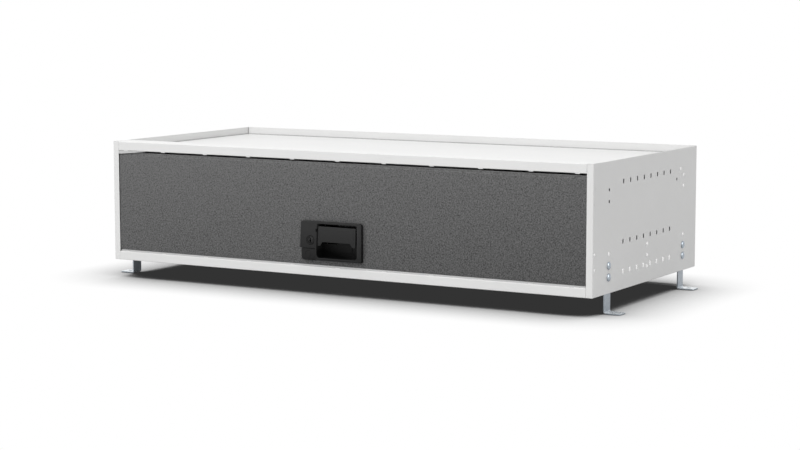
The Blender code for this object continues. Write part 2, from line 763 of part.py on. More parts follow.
def foot(name, side, end, frame):
    """A strap against the side panel's inner face, bent out under the shell, with its holes."""
    depth = foot_depths()[end]
    middle = strap_inset(end) + FOOT_STRAP_THICKNESS / 2
    sole = -FOOT_DROP + FOOT_STRAP_THICKNESS / 2
    path = ((middle, FOOT_STRAP_TOP), (middle, sole), (-FOOT_REACH, sole))
    outline = side_outline(side, folded(path, FOOT_STRAP_THICKNESS, FOOT_BEND_INSIDE, FOOT_BEND_STEPS))
    shape = along_y(bmesh.new(), outline, depth - FOOT_STRAP_WIDTH / 2, depth + FOOT_STRAP_WIDTH / 2)
    part = add_part(name, shape, "zinc", frame)
    holes = bmesh.new()
    for step in range(HOLES_ABOVE_FOOT):
        centre = (inset_x(side, middle), depth, LOWEST_HOLE_HEIGHT + step * HOLE_PITCH)
        add_round(holes, "x", centre, HOLE_DIAMETER, FOOT_STRAP_THICKNESS + 2 * CUT_OVERRUN, BORE_SIDES)
    bmesh.ops.create_cone(
        holes,
        cap_ends=True,
        segments=BOLT_SIDES,
        radius1=FOOT_HOLE_DIAMETER / 2,
        radius2=FOOT_HOLE_DIAMETER / 2,
        depth=FOOT_STRAP_THICKNESS + 2 * CUT_OVERRUN,
        matrix=Matrix.Translation((inset_x(side, -FOOT_HOLE_REACH), depth, sole)),
    )
    cut(part, holes)


def cup_bolt(name, side, depth, height, frame):
    """A low dome on the outer face and a shank that ends past the nut."""
    head, shank = BOLT_HEAD_DIAMETER / 2, BOLT_DIAMETER / 2
    dome_radius = (head ** 2 + BOLT_HEAD_RISE ** 2) / (2 * BOLT_HEAD_RISE)
    dome_angle = math.asin(head / dome_radius)
    outline = []
    for step in range(BOLT_DOME_STEPS + 1):
        angle = dome_angle * step / BOLT_DOME_STEPS
        rise = dome_radius * (math.cos(angle) - math.cos(dome_angle))
        outline.append((dome_radius * math.sin(angle), SEAT_GAP + rise))
    outline[0] = (0, outline[0][1])
    outline += [(shank, SEAT_GAP), (shank, -BOLT_LENGTH), (0, -BOLT_LENGTH)]
    centre = (inset_x(side, 0), depth, height)
    add_part(name, turned(outline, centre, side, BOLT_SIDES), "zinc", frame)


def nut(name, side, end, depth, height, frame):
    """A hexagon nut against the strap, its outer corners chamfered."""
    seat = strap_inset(end) + FOOT_STRAP_THICKNESS + SEAT_GAP
    centre = (inset_x(side, seat + NUT_HEIGHT / 2), depth, height)
    across_corners = NUT_ACROSS_FLATS / math.cos(math.pi / 6)
    shape = add_round(bmesh.new(), "x", centre, across_corners, NUT_HEIGHT, 6)
    top = inset_x(side, seat + NUT_HEIGHT)
    round_edges(shape, NUT_CHAMFER, 1, lambda a, b: max(abs(a.x - top), abs(b.x - top)) < SEAT_GAP)
    part = add_part(name, shape, "zinc", frame)
    drill = NUT_HEIGHT + 2 * CUT_OVERRUN
    cut(part, add_round(bmesh.new(), "x", centre, NUT_BORE_DIAMETER, drill, BOLT_SIDES))


def slide_length():
    return SHELL_DEPTH - SLIDE_FRONT - SLIDE_REAR_ROOM


def slide_inset():
    """Where the slide's outer face lies: on the lips of the slide channel."""
    return SHEET + SEAT_GAP + CHANNEL_DEPTH + SEAT_GAP


def slide_channel(name, side, frame):
    """A lipped channel with its web on the side panel and its lips towards the slide."""
    half = SHEET / 2
    web, mouth = SHEET + SEAT_GAP + half, SHEET + SEAT_GAP + CHANNEL_DEPTH - half
    low = SLIDE_AXIS_HEIGHT - CHANNEL_HEIGHT / 2 + half
    high = SLIDE_AXIS_HEIGHT + CHANNEL_HEIGHT / 2 - half
    path = ((mouth, low + CHANNEL_LIP), (mouth, low), (web, low), (web, high), (mouth, high),
            (mouth, high - CHANNEL_LIP))
    outline = side_outline(side, folded(path, SHEET, BEND_INSIDE, BEND_STEPS))
    rear = rear_web_face() - REAR_SIDE_FLANGE - CHANNEL_REAR_CLEARANCE
    shape = along_y(bmesh.new(), outline, CHANNEL_FRONT, rear)
    add_part(name, shape, "white_coat", frame)


def lipped_channel(web, mouth, height, lip, sheet):
    """Path of a channel that opens inwards, as (inset, z) points about the slide's axis height."""
    reach = height / 2 - sheet / 2
    path = [(web, reach), (mouth, reach)]
    if lip:
        path.append((mouth, reach - lip))
    lower = [(inset, -z) for inset, z in path]
    return [(inset, z + SLIDE_AXIS_HEIGHT) for inset, z in lower[::-1] + path]


def member(name, side, web, mouth, height, lip, carrier):
    path = lipped_channel(web, mouth, height, lip, MEMBER_SHEET)
    outline = folded(path, MEMBER_SHEET, MEMBER_BEND_INSIDE, MEMBER_BEND_STEPS)
    shape = along_y(bmesh.new(), side_outline(side, outline), SLIDE_FRONT, SLIDE_FRONT + slide_length())
    return add_part(name, shape, "bright_steel", carrier)


def slide(word, side, carriers):
    """The three nested members and the two ball cages of one slide."""
    start = slide_inset()
    half = MEMBER_SHEET / 2
    mouth = start + SLIDE_THICKNESS - MEMBER_MOUTH_CLEARANCE - half
    cabinet_web = start + half
    middle_web = start + MIDDLE_MEMBER_INSET + half
    drawer_web = start + SLIDE_THICKNESS - half
    drawer_edge = start + SLIDE_THICKNESS - DRAWER_MEMBER_DEPTH
    member(f"slide_cabinet_member_{word}", side, cabinet_web, mouth, CABINET_MEMBER_HEIGHT, MEMBER_LIP,
           carriers["frame"])
    member(f"slide_middle_member_{word}", side, middle_web, mouth, MIDDLE_MEMBER_HEIGHT, MEMBER_LIP / 2,
           carriers["middle"])
    inner = member(f"slide_drawer_member_{word}", side, drawer_web, drawer_edge, DRAWER_MEMBER_HEIGHT, 0,
                   carriers["drawer"])
    holes = bmesh.new()
    for depth in screw_depths():
        add_round(holes, "x", (inset_x(side, drawer_web), depth, SLIDE_AXIS_HEIGHT), SCREW_HOLE_DIAMETER,
                  MEMBER_SHEET + 2 * CUT_OVERRUN, BORE_SIDES)
    cut(inner, holes)
    outer_gap = (start + MEMBER_SHEET, start + MIDDLE_MEMBER_INSET)
    inner_gap = (start + MIDDLE_MEMBER_INSET + MEMBER_SHEET, drawer_edge)
    ball_cage(f"ball_cage_outer_{word}", side, outer_gap, mouth - half,
              CABINET_MEMBER_HEIGHT / 2 - MEMBER_SHEET, MIDDLE_MEMBER_HEIGHT / 2, carriers["outer_cage"])
    ball_cage(f"ball_cage_inner_{word}", side, inner_gap, mouth - half,
              MIDDLE_MEMBER_HEIGHT / 2 - MEMBER_SHEET, DRAWER_MEMBER_HEIGHT / 2, carriers["inner_cage"])


def ball_cage(name, side, web_gap, mouth, race_outside, race_inside, carrier):
    """A thin channel between two members, with two rows of balls that reach the races on both sides."""
    web = sum(web_gap) / 2
    edge = mouth - MEMBER_SHEET / 2 - CAGE_MOUTH_CLEARANCE
    row = (race_outside + race_inside) / 2
    path = lipped_channel(web, edge, 2 * row + CAGE_SHEET, 0, CAGE_SHEET)
    outline = side_outline(side, folded(path, CAGE_SHEET, MEMBER_BEND_INSIDE, MEMBER_BEND_STEPS))
    travel = slide_length() - SLIDE_TRAVEL_LOSS
    length = slide_length() - travel / 2 - 2 * CAGE_END_MARGIN
    begin = SLIDE_FRONT + travel / 4 + CAGE_END_MARGIN
    cage = add_part(name, along_y(bmesh.new(), outline, begin, begin + length), "zinc", carrier)
    balls = bmesh.new()
    pitch = length / BALLS_IN_ROW
    inset = edge - BALL_DIAMETER
    for number in range(BALLS_IN_ROW):
        for level in (-row, row):
            depth = begin + pitch * (number + 1 / 2)
            centre = Vector((inset_x(side, inset), depth, SLIDE_AXIS_HEIGHT + level))
            bmesh.ops.create_uvsphere(
                balls,
                u_segments=BALL_SEGMENTS,
                v_segments=BALL_RINGS,
                radius=BALL_DIAMETER / 2,
                matrix=Matrix.Translation(centre) @ Matrix.Rotation(math.pi / 2, 4, "Y"),
            )
    join(cage, balls)


def screw_depths():
    """Where the screws hold the drawer sides to the slides' drawer members."""
    return SLIDE_FRONT + SCREW_INSET, SLIDE_FRONT + slide_length() - SCREW_INSET


def box_inset():
    """Inset of the outer face of the drawer box's sides."""
    return slide_inset() + SLIDE_THICKNESS + SEAT_GAP


def drawer_front_top():
    return SHELL_HEIGHT - DRAWER_FRONT_TOP_GAP


def box_top():
    return drawer_front_top() - BOX_TOP_DROP


def box_rear():
    return SHELL_DEPTH - BOX_REAR_ROOM


def box_front():
    """Depth of the front face of the inner front."""
    return DRAWER_RECESS + DRAWER_FRONT_THICKNESS + SEAT_GAP


def latch_x(offset):
    """The x of a place on the latch, by its offset from the middle of the recess."""
    return LATCH_CENTRE + offset


def latch_cutout(clearance, start, end):
    """The hole that the housing's bucket passes through, and the one for the lock."""
    shape = bmesh.new()
    room = BUCKET_WALL + clearance
    add_block(shape, (latch_x(-RECESS_LEFT - room), start, RECESS_BOTTOM - room),
              (latch_x(RECESS_RIGHT + room), end, RECESS_TOP + room))
    centre = (latch_x(-LOCK_OFFSET), (start + end) / 2, LOCK_HEIGHT)
    return add_round(shape, "y", centre, LOCK_BODY_DIAMETER + 4 * LOCK_FIT, end - start, LOCK_SIDES)


def drawer_front(drawer):
    """The grained panel, its front edges rounded."""
    reach = SHELL_WIDTH / 2 - SIDE_FLANGE - DRAWER_SIDE_CLEARANCE
    low = Vector((-reach, DRAWER_RECESS, DRAWER_FRONT_BOTTOM))
    high = Vector((reach, DRAWER_RECESS + DRAWER_FRONT_THICKNESS, drawer_front_top()))
    shape = block(low, high)
    round_edges(shape, DRAWER_FRONT_ROUND, DRAWER_FRONT_ROUND_STEPS,
                lambda a, b: max(a.y, b.y) < low.y + SEAT_GAP)
    panel = add_part("drawer_front", shape, "grained_grey", drawer)
    cut(panel, latch_cutout(PANEL_CUT_CLEARANCE, low.y - CUT_OVERRUN, high.y + CUT_OVERRUN))


def drawer_inner_front(drawer):
    """The steel front of the box, between its sides, with a flange at the top and the bottom."""
    half = BOX_SHEET / 2
    front = box_front() + half
    edge = box_front() + BOX_FLANGE
    low, high = BOX_BOTTOM + half, box_top() - half
    path = ((edge, low), (front, low), (front, high), (edge, high))
    reach = SHELL_WIDTH / 2 - box_inset() - BOX_SHEET - SEAT_GAP
    outline = folded(path, BOX_SHEET, BEND_INSIDE, BEND_STEPS)
    panel = add_part("drawer_inner_front", along_x(bmesh.new(), outline, -reach, reach), "white_coat", drawer)
    rear = box_front() + BOX_SHEET
    cut(panel, latch_cutout(PANEL_CUT_CLEARANCE, box_front() - CUT_OVERRUN, rear + CUT_OVERRUN))


def drawer_side(word, side, drawer):
    """A side of the box, its flanges cut back where the inner front's and the back's flanges lie."""
    half = BOX_SHEET / 2
    web, edge = box_inset() + half, box_inset() + BOX_FLANGE
    low, high = BOX_BOTTOM + half, box_top() - half
    path = ((edge, low), (web, low), (web, high), (edge, high))
    outline = side_outline(side, folded(path, BOX_SHEET, BEND_INSIDE, BEND_STEPS))
    shape = along_y(bmesh.new(), outline, box_front(), box_rear())
    panel = add_part(f"drawer_side_{word}", shape, "white_coat", drawer)
    corner = BOX_FLANGE + SEAT_GAP
    inner, past = box_inset() + BOX_SHEET, edge + CUT_OVERRUN
    trims = bmesh.new()
    for start, end in ((box_front() - CUT_OVERRUN, box_front() + corner),
                       (box_rear() - corner, box_rear() + CUT_OVERRUN)):
        for under, over in ((BOX_BOTTOM - CUT_OVERRUN, BOX_BOTTOM + BOX_SHEET + BEND_INSIDE),
                            (box_top() - BOX_SHEET - BEND_INSIDE, box_top() + CUT_OVERRUN)):
            add_block(trims, (inset_x(side, inner), start, under), (inset_x(side, past), end, over))
    for depth in screw_depths():
        add_round(trims, "x", (inset_x(side, web), depth, SLIDE_AXIS_HEIGHT), SCREW_HOLE_DIAMETER,
                  BOX_SHEET + 2 * CUT_OVERRUN, BORE_SIDES)
    cut(panel, trims)


def drawer_back(drawer):
    """The back of the box, between its sides."""
    half = BOX_SHEET / 2
    web = box_rear() - half
    edge = box_rear() - BOX_FLANGE
    low, high = BOX_BOTTOM + half, box_top() - half
    path = ((edge, low), (web, low), (web, high), (edge, high))
    reach = SHELL_WIDTH / 2 - box_inset() - BOX_SHEET - SEAT_GAP
    outline = folded(path, BOX_SHEET, BEND_INSIDE, BEND_STEPS)
    add_part("drawer_back", along_x(bmesh.new(), outline, -reach, reach), "white_coat", drawer)


def pawl_sweep_rear():
    """Depth past which nothing of the pawl reaches when it swings."""
    return PAWL_PIN_DEPTH + math.hypot(HOOK_REAR, HOOK_DROP)


def drawer_floor(drawer):
    """The sheet that rests on the bottom flanges, notched where the pawl passes."""
    reach = SHELL_WIDTH / 2 - box_inset() - BOX_SHEET - BEND_INSIDE - SEAT_GAP
    bottom = BOX_BOTTOM + BOX_SHEET + SEAT_GAP
    start = box_front() + BOX_SHEET + BEND_INSIDE + SEAT_GAP
    end = box_rear() - BOX_SHEET - BEND_INSIDE - SEAT_GAP
    floor = add_part("drawer_floor", block((-reach, start, bottom), (reach, end, bottom + BOX_SHEET)),
                     "white_coat", drawer)
    cut(floor, block((latch_x(-BRACKET_HALF_WIDTH), start - CUT_OVERRUN, bottom - CUT_OVERRUN),
                     (latch_x(BRACKET_HALF_WIDTH), pawl_sweep_rear(), bottom + BOX_SHEET + CUT_OVERRUN)))


def drawer_screw(name, side, depth, drawer):
    """A pan-head screw from inside the box through its side and the drawer member."""
    seat = box_inset() + BOX_SHEET + SEAT_GAP
    head, shank = SCREW_HEAD_DIAMETER / 2, SCREW_DIAMETER / 2
    bevel = SCREW_HEAD_HEIGHT / 3
    outline = ((0, SCREW_HEAD_HEIGHT), (head - bevel, SCREW_HEAD_HEIGHT), (head, SCREW_HEAD_HEIGHT - bevel),
               (head, 0), (shank, 0), (shank, -SCREW_LENGTH), (0, -SCREW_LENGTH))
    centre = (inset_x(side, seat), depth, SLIDE_AXIS_HEIGHT)
    add_part(name, turned(outline, centre, -side, SCREW_SIDES), "zinc", drawer)


def housing_face():
    """Depth of the housing's front face: ahead of the drawer front by the bezel's height."""
    return DRAWER_RECESS - LATCH_PROUD


def recess_outline():
    radii = (RECESS_LOW_CORNER, RECESS_LOW_CORNER, RECESS_HIGH_CORNER, RECESS_HIGH_CORNER)
    low = (latch_x(-RECESS_LEFT), RECESS_BOTTOM)
    high = (latch_x(RECESS_RIGHT), RECESS_TOP)
    return rounded_rectangle(low, high, radii, RECESS_CORNER_STEPS)


def recess_back():
    return housing_face() + RECESS_DEPTH


def latch_housing(drawer):
    """Bezel, pad and lower block in front of the panel, and the bucket that passes through it."""
    face, seat = housing_face(), DRAWER_RECESS - SEAT_GAP
    radii = (HOUSING_CORNER,) * 4
    low = (latch_x(-HOUSING_LEFT), HOUSING_BOTTOM)
    high = (latch_x(HOUSING_RIGHT), HOUSING_TOP)
    outline = rounded_rectangle(low, high, radii, HOUSING_ROUND_STEPS)
    shape = along_y(bmesh.new(), outline, face, seat)
    round_edges(shape, HOUSING_EDGE_ROUND, HOUSING_ROUND_STEPS, lambda a, b: max(a.y, b.y) < face + SEAT_GAP)
    housing = add_part("latch_housing", shape, "black_plastic", drawer)
    bucket_low = (latch_x(-RECESS_LEFT - BUCKET_WALL), seat - CUT_OVERRUN, RECESS_BOTTOM - BUCKET_WALL)
    bucket_high = (latch_x(RECESS_RIGHT + BUCKET_WALL), recess_back() + BUCKET_WALL, RECESS_TOP + BUCKET_WALL)
    join(housing, block(bucket_low, bucket_high))
    outside = (latch_x(-HOUSING_LEFT - CUT_OVERRUN), face - CUT_OVERRUN, HOUSING_BOTTOM - CUT_OVERRUN)
    cut(housing, block(outside, (latch_x(-BLOCK_RIGHT), face + BLOCK_DROP, BLOCK_TOP)))
    cut(housing, block(outside, (latch_x(-HOUSING_LEFT + BLOCK_SIDE_STEP), seat + CUT_OVERRUN, BLOCK_TOP)))
    cut(housing, along_y(bmesh.new(), recess_outline(), face - CUT_OVERRUN, recess_back()))
    behind, past = recess_back() - CUT_OVERRUN, recess_back() + BUCKET_WALL + CUT_OVERRUN
    cut(housing, block((latch_x(-RECESS_LEFT + SEAT_GAP), behind, BACK_WALL_TOP),
                       (latch_x(RECESS_RIGHT - SEAT_GAP), past, RECESS_TOP - RECESS_HIGH_CORNER)))
    cut(housing, block((latch_x(-ARM_SLOT_WIDTH / 2), behind, ARM_SLOT_BOTTOM),
                       (latch_x(ARM_SLOT_WIDTH / 2), past, BACK_WALL_TOP + CUT_OVERRUN)))
    bores = bmesh.new()
    pin_length = RECESS_LEFT + RECESS_RIGHT + 2 * (PADDLE_PIN_BEARING + SEAT_GAP)
    pin_middle = latch_x((RECESS_RIGHT - RECESS_LEFT) / 2)
    add_round(bores, "x", (pin_middle, PADDLE_PIN_DEPTH, PADDLE_PIN_HEIGHT), PADDLE_PIN_HOLE, pin_length,
              BORE_SIDES)
    lock = latch_x(-LOCK_OFFSET)
    add_round(bores, "y", (lock, (face + seat) / 2, LOCK_HEIGHT), LOCK_BODY_DIAMETER + 2 * LOCK_FIT,
              seat - face + 2 * CUT_OVERRUN, LOCK_SIDES)
    cut(housing, bores)
    counterbore = bmesh.new()
    deep = LOCK_RING_THICKNESS + SEAT_GAP
    add_round(counterbore, "y", (lock, face + (deep - CUT_OVERRUN) / 2, LOCK_HEIGHT),
              LOCK_RING_DIAMETER + 2 * LOCK_FIT, deep + CUT_OVERRUN, LOCK_SIDES)
    cut(housing, counterbore)


def paddle_outline():
    """The flap's face: legs at both ends reach lower than the edge between them."""
    left = latch_x(-RECESS_LEFT + PADDLE_SIDE_CLEARANCE)
    right = latch_x(RECESS_RIGHT - PADDLE_SIDE_CLEARANCE)
    corner = PADDLE_LEG_CORNER
    half = ((left, PADDLE_TOP), (left, PADDLE_LEG_BOTTOM + corner), (left + corner, PADDLE_LEG_BOTTOM),
            (left + PADDLE_LEG - PADDLE_LEG_SLOPE / 2, PADDLE_LEG_BOTTOM),
            (left + PADDLE_LEG + PADDLE_LEG_SLOPE / 2, PADDLE_EDGE))
    return list(half) + [(left + right - x, z) for x, z in reversed(half)]


def paddle(carrier):
    """The flap with its ears, and two arms whose cross bar pulls the pawl."""
    face = housing_face() + PADDLE_RECESS
    back = face + PADDLE_SHEET
    shape = along_y(bmesh.new(), paddle_outline(), face, back)
    round_edges(shape, PADDLE_ROUND, 1, lambda a, b: max(a.y, b.y) < face + SEAT_GAP)
    flap = add_part("paddle", shape, "black_plastic", carrier)
    fixings = bmesh.new()
    for end, reach in ((-1, RECESS_LEFT), (1, RECESS_RIGHT)):
        outer = end * (reach - PADDLE_SIDE_CLEARANCE - PADDLE_EAR_INSET)
        add_block(fixings, (latch_x(outer), back - PADDLE_SHEET / 2, PADDLE_PIN_HEIGHT - PADDLE_EAR_RADIUS),
                  (latch_x(outer - end * PADDLE_EAR), PADDLE_PIN_DEPTH + PADDLE_EAR_RADIUS,
                   PADDLE_PIN_HEIGHT + PADDLE_EAR_RADIUS))
    root = back - PADDLE_SHEET / 2
    arm = ((root, ARM_ROOT_TOP), (root, ARM_ROOT_BOTTOM), (CROSS_BAR_DEPTH, ARM_TIP_BOTTOM),
           (ARM_TIP_DEPTH, ARM_TIP_BOTTOM), (ARM_TIP_DEPTH, ARM_TIP_TOP))
    for end in (-1, 1):
        middle = latch_x(end * ARM_SPACING)
        along_x(fixings, arm, middle - ARM_THICKNESS / 2, middle + ARM_THICKNESS / 2)
    join(flap, fixings)
    bar = (latch_x(0), CROSS_BAR_DEPTH, CROSS_BAR_HEIGHT)
    join(flap, add_round(bmesh.new(), "x", bar, CROSS_BAR_DIAMETER, 2 * ARM_SPACING, BORE_SIDES))
    length = RECESS_LEFT + RECESS_RIGHT
    cut(flap, add_round(bmesh.new(), "x", (latch_x(0), PADDLE_PIN_DEPTH, PADDLE_PIN_HEIGHT), PADDLE_PIN_HOLE,
                        length, BORE_SIDES))


def paddle_pin(drawer):
    length = RECESS_LEFT + RECESS_RIGHT + 2 * PADDLE_PIN_BEARING
    middle = latch_x((RECESS_RIGHT - RECESS_LEFT) / 2)
    shape = add_round(bmesh.new(), "x", (middle, PADDLE_PIN_DEPTH, PADDLE_PIN_HEIGHT), PADDLE_PIN_DIAMETER,
                      length, BORE_SIDES)
    add_part("paddle_pin", shape, "zinc", drawer)


def coil_spring(name, start, coil, wire, turns, pitch, carrier):
    """A close coil about an x axis, as a curve with a round section and closed ends."""
    curve = bpy.data.curves.new(name, "CURVE")
    curve.dimensions = "3D"
    curve.bevel_depth = wire / 2
    curve.bevel_resolution = 1
    curve.use_fill_caps = True
    count = turns * SPRING_POINTS_IN_TURN + 1
    line = curve.splines.new("POLY")
    line.points.add(count - 1)
    for number, point in enumerate(line.points):
        turn = number / SPRING_POINTS_IN_TURN
        angle = FULL_TURN * turn
        place = Vector((turn * pitch, coil / 2 * math.sin(angle), coil / 2 * math.cos(angle)))
        point.co = (*(Vector(start) + place), 1)
    curve.materials.append(finish(name, "spring_steel"))
    spring = link(bpy.data.objects.new(name, curve))
    carry(spring, carrier)


def latch_pawl(carrier):
    """The lever behind the recess: an arm up to the paddle's cross bar, a hook down to the strike."""
    hub, half, drop = PAWL_HUB, PAWL_ARM_HALF, HOOK_DROP
    outline = ((-half, PAWL_ARM_LENGTH), (half, PAWL_ARM_LENGTH), (half, hub), (hub, half),
               (HOOK_REAR, -hub), (HOOK_REAR, HOOK_RAMP - drop), (HOOK_REAR - HOOK_RAMP_RUN, -drop),
               (HOOK_FACE, -drop), (HOOK_FACE, -drop / 2), (half, -hub), (-half, -hub), (-hub, -half),
               (-hub, half), (-half, hub))
    outline = [(PAWL_PIN_DEPTH + y, PAWL_PIN_HEIGHT + z) for y, z in outline]
    shape = along_x(bmesh.new(), outline, latch_x(-PAWL_THICKNESS / 2), latch_x(PAWL_THICKNESS / 2))
    pawl = add_part("latch_pawl", shape, "zinc", carrier)
    cut(pawl, add_round(bmesh.new(), "x", (latch_x(0), PAWL_PIN_DEPTH, PAWL_PIN_HEIGHT), PAWL_PIN_HOLE,
                        PAWL_THICKNESS + 2 * CUT_OVERRUN, BORE_SIDES))


def pawl_pin(drawer):
    shape = add_round(bmesh.new(), "x", (latch_x(0), PAWL_PIN_DEPTH, PAWL_PIN_HEIGHT), PAWL_PIN_DIAMETER,
                      2 * BRACKET_HALF_WIDTH, BORE_SIDES)
    add_part("pawl_pin", shape, "zinc", drawer)


def pawl_bracket(drawer):
    """A base on the housing's back wall and two cheeks that hold the pawl's pin."""
    start = recess_back() + BUCKET_WALL + SEAT_GAP
    base = block((latch_x(-BRACKET_HALF_WIDTH), start, BRACKET_BOTTOM),
                 (latch_x(BRACKET_HALF_WIDTH), start + BRACKET_SHEET, BRACKET_BASE_TOP))
    bracket = add_part("pawl_bracket", base, "zinc", drawer)
    cheeks = bmesh.new()
    for end in (-1, 1):
        outer = end * BRACKET_HALF_WIDTH
        add_block(cheeks, (latch_x(outer), start, BRACKET_BOTTOM),
                  (latch_x(outer - end * BRACKET_SHEET), start + BRACKET_REACH, BRACKET_TOP))
    join(bracket, cheeks)
    cut(bracket, add_round(bmesh.new(), "x", (latch_x(0), PAWL_PIN_DEPTH, PAWL_PIN_HEIGHT), PAWL_PIN_HOLE,
                           2 * BRACKET_HALF_WIDTH + 2 * CUT_OVERRUN, BORE_SIDES))


def strike_plate(frame):
    """A plate on the bottom rail whose rear lip stands in front of the pawl's hook."""
    half = STRIKE_SHEET / 2
    bed = RAIL_FACE + SEAT_GAP + half
    lip = PAWL_PIN_DEPTH + HOOK_FACE - STRIKE_HOOK_CLEARANCE - half
    path = ((STRIKE_FRONT, bed), (lip, bed), (lip, STRIKE_TOP))
    outline = folded(path, STRIKE_SHEET, BEND_INSIDE, BEND_STEPS)
    shape = along_x(bmesh.new(), outline, latch_x(-STRIKE_HALF_WIDTH), latch_x(STRIKE_HALF_WIDTH))
    add_part("strike_plate", shape, "zinc", frame)


def lock_axis():
    return Vector((latch_x(-LOCK_OFFSET), housing_face(), LOCK_HEIGHT))


def lock_cylinder(drawer):
    """The lock's body: a ring in the pad's counterbore and a sleeve through the front."""
    axis = lock_axis()
    middle = (axis.y + LOCK_REAR_DEPTH) / 2
    length = LOCK_REAR_DEPTH - axis.y
    sleeve = add_round(bmesh.new(), "y", (axis.x, middle, axis.z), LOCK_BODY_DIAMETER, length, LOCK_SIDES)
    part = add_part("lock_cylinder", sleeve, "black_plastic", drawer)
    ring_middle = axis.y + LOCK_RING_THICKNESS / 2
    join(part, add_round(bmesh.new(), "y", (axis.x, ring_middle, axis.z), LOCK_RING_DIAMETER,
                         LOCK_RING_THICKNESS, LOCK_SIDES))
    cut(part, add_round(bmesh.new(), "y", (axis.x, middle, axis.z), LOCK_PLUG_DIAMETER + 2 * LOCK_FIT,
                        length + 2 * CUT_OVERRUN, LOCK_SIDES))


def lock_plug(carrier):
    """The part that the key turns, with the cam on its rear end."""
    axis = lock_axis()
    start = axis.y + LOCK_PLUG_RECESS
    end = LOCK_REAR_DEPTH + SEAT_GAP + CAM_THICKNESS
    shape = add_round(bmesh.new(), "y", (axis.x, (start + end) / 2, axis.z), LOCK_PLUG_DIAMETER, end - start,
                      LOCK_SIDES)
    plug = add_part("lock_plug", shape, "black_plastic", carrier)
    cam = block((axis.x - CAM_WIDTH / 2, end - CAM_THICKNESS, axis.z - CAM_LENGTH),
                (axis.x + CAM_WIDTH / 2, end, axis.z))
    join(plug, cam)
    cut(plug, block((axis.x - KEY_SLIT_WIDTH / 2, start - CUT_OVERRUN, axis.z - KEY_SLIT_HEIGHT / 2),
                    (axis.x + KEY_SLIT_WIDTH / 2, start + KEY_SLIT_DEPTH, axis.z + KEY_SLIT_HEIGHT / 2)))


def build():
    clear_scene()
    frame = link(bpy.data.objects.new("cabinet_frame", None))
    frame.location = (0, -(SHELL_DEPTH + housing_face()) / 2, FOOT_DROP)
    slide_line = (0, SLIDE_FRONT, SLIDE_AXIS_HEIGHT)
    drawer = axis_empty("drawer_line", slide_line, frame)
    paddle_axis = axis_empty("paddle_axis", (latch_x(0), PADDLE_PIN_DEPTH, PADDLE_PIN_HEIGHT), frame)
    pawl_axis = axis_empty("pawl_axis", (latch_x(0), PAWL_PIN_DEPTH, PAWL_PIN_HEIGHT), frame)
    plug_axis = axis_empty("lock_axis", lock_axis(), frame)

    for word, side in SIDES.items():
        side_panel(f"side_panel_{word}", side, frame)
        slide_channel(f"slide_channel_{word}", side, frame)
        for end in ("front", "rear"):
            foot(f"foot_{end}_{word}", side, end, frame)
        for end, level, depth, height in bolt_places():
            cup_bolt(f"cup_bolt_{end}_{word}_{level}", side, depth, height, frame)
            nut(f"nut_{end}_{word}_{level}", side, end, depth, height, frame)
        line = (inset_x(side, slide_inset()), SLIDE_FRONT, SLIDE_AXIS_HEIGHT)
        carriers = {
            "frame": frame,
            "drawer": drawer,
            "middle": axis_empty(f"slide_middle_line_{word}", line, frame),
            "outer_cage": axis_empty(f"outer_cage_line_{word}", line, frame),
            "inner_cage": axis_empty(f"inner_cage_line_{word}", line, frame),
        }
        slide(word, side, carriers)
        drawer_side(word, side, drawer)
        for place, depth in zip(("front", "rear"), screw_depths()):
            drawer_screw(f"drawer_screw_{place}_{word}", side, depth, drawer)

    tray_panel(frame)
    rear_panel(frame)
    front_top_rail(frame)
    front_bottom_rail(frame)
    strike_plate(frame)

    drawer_front(drawer)
    drawer_inner_front(drawer)
    drawer_back(drawer)
    drawer_floor(drawer)
    latch_housing(drawer)
    paddle_pin(drawer)
    coil_spring(
        "paddle_spring",
        (latch_x(-PADDLE_SPRING_OFFSET), PADDLE_PIN_DEPTH, PADDLE_PIN_HEIGHT),
        PADDLE_SPRING_COIL,
        PADDLE_SPRING_WIRE,
        PADDLE_SPRING_TURNS,
        PADDLE_SPRING_PITCH,
        drawer,
    )
    pawl_bracket(drawer)
    pawl_pin(drawer)
    coil_spring(
        "pawl_spring",
        (latch_x(PAWL_THICKNESS / 2 + PAWL_SPRING_WIRE), PAWL_PIN_DEPTH, PAWL_PIN_HEIGHT),
        PAWL_SPRING_COIL,
        PAWL_SPRING_WIRE,
        PAWL_SPRING_TURNS,
        PAWL_SPRING_PITCH,
        drawer,
    )
    lock_cylinder(drawer)

    paddle(paddle_axis)
    latch_pawl(pawl_axis)
    lock_plug(plug_axis)


build()
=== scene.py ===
import math

import bmesh
import bpy
from mathutils import Euler, Matrix, Vector


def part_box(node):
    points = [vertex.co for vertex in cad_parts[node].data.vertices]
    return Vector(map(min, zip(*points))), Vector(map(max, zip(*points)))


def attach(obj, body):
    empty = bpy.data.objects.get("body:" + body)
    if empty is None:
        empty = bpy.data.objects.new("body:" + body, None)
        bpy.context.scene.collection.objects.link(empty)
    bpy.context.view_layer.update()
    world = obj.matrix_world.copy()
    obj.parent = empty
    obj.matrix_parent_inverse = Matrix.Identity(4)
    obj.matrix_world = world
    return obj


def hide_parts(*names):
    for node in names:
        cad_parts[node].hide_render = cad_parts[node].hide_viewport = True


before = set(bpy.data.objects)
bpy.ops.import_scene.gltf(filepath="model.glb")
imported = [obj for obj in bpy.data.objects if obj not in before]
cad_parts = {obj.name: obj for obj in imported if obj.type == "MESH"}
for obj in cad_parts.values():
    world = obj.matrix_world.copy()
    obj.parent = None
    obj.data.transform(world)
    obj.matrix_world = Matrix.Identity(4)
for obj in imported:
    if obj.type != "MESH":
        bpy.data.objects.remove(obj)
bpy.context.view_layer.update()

# The cabinet's pieces are laid out in millimetres: x from the middle of the width, y back from the front faces of
# the shell, z up from the shell's underside.
MILLIMETRE = 0.001
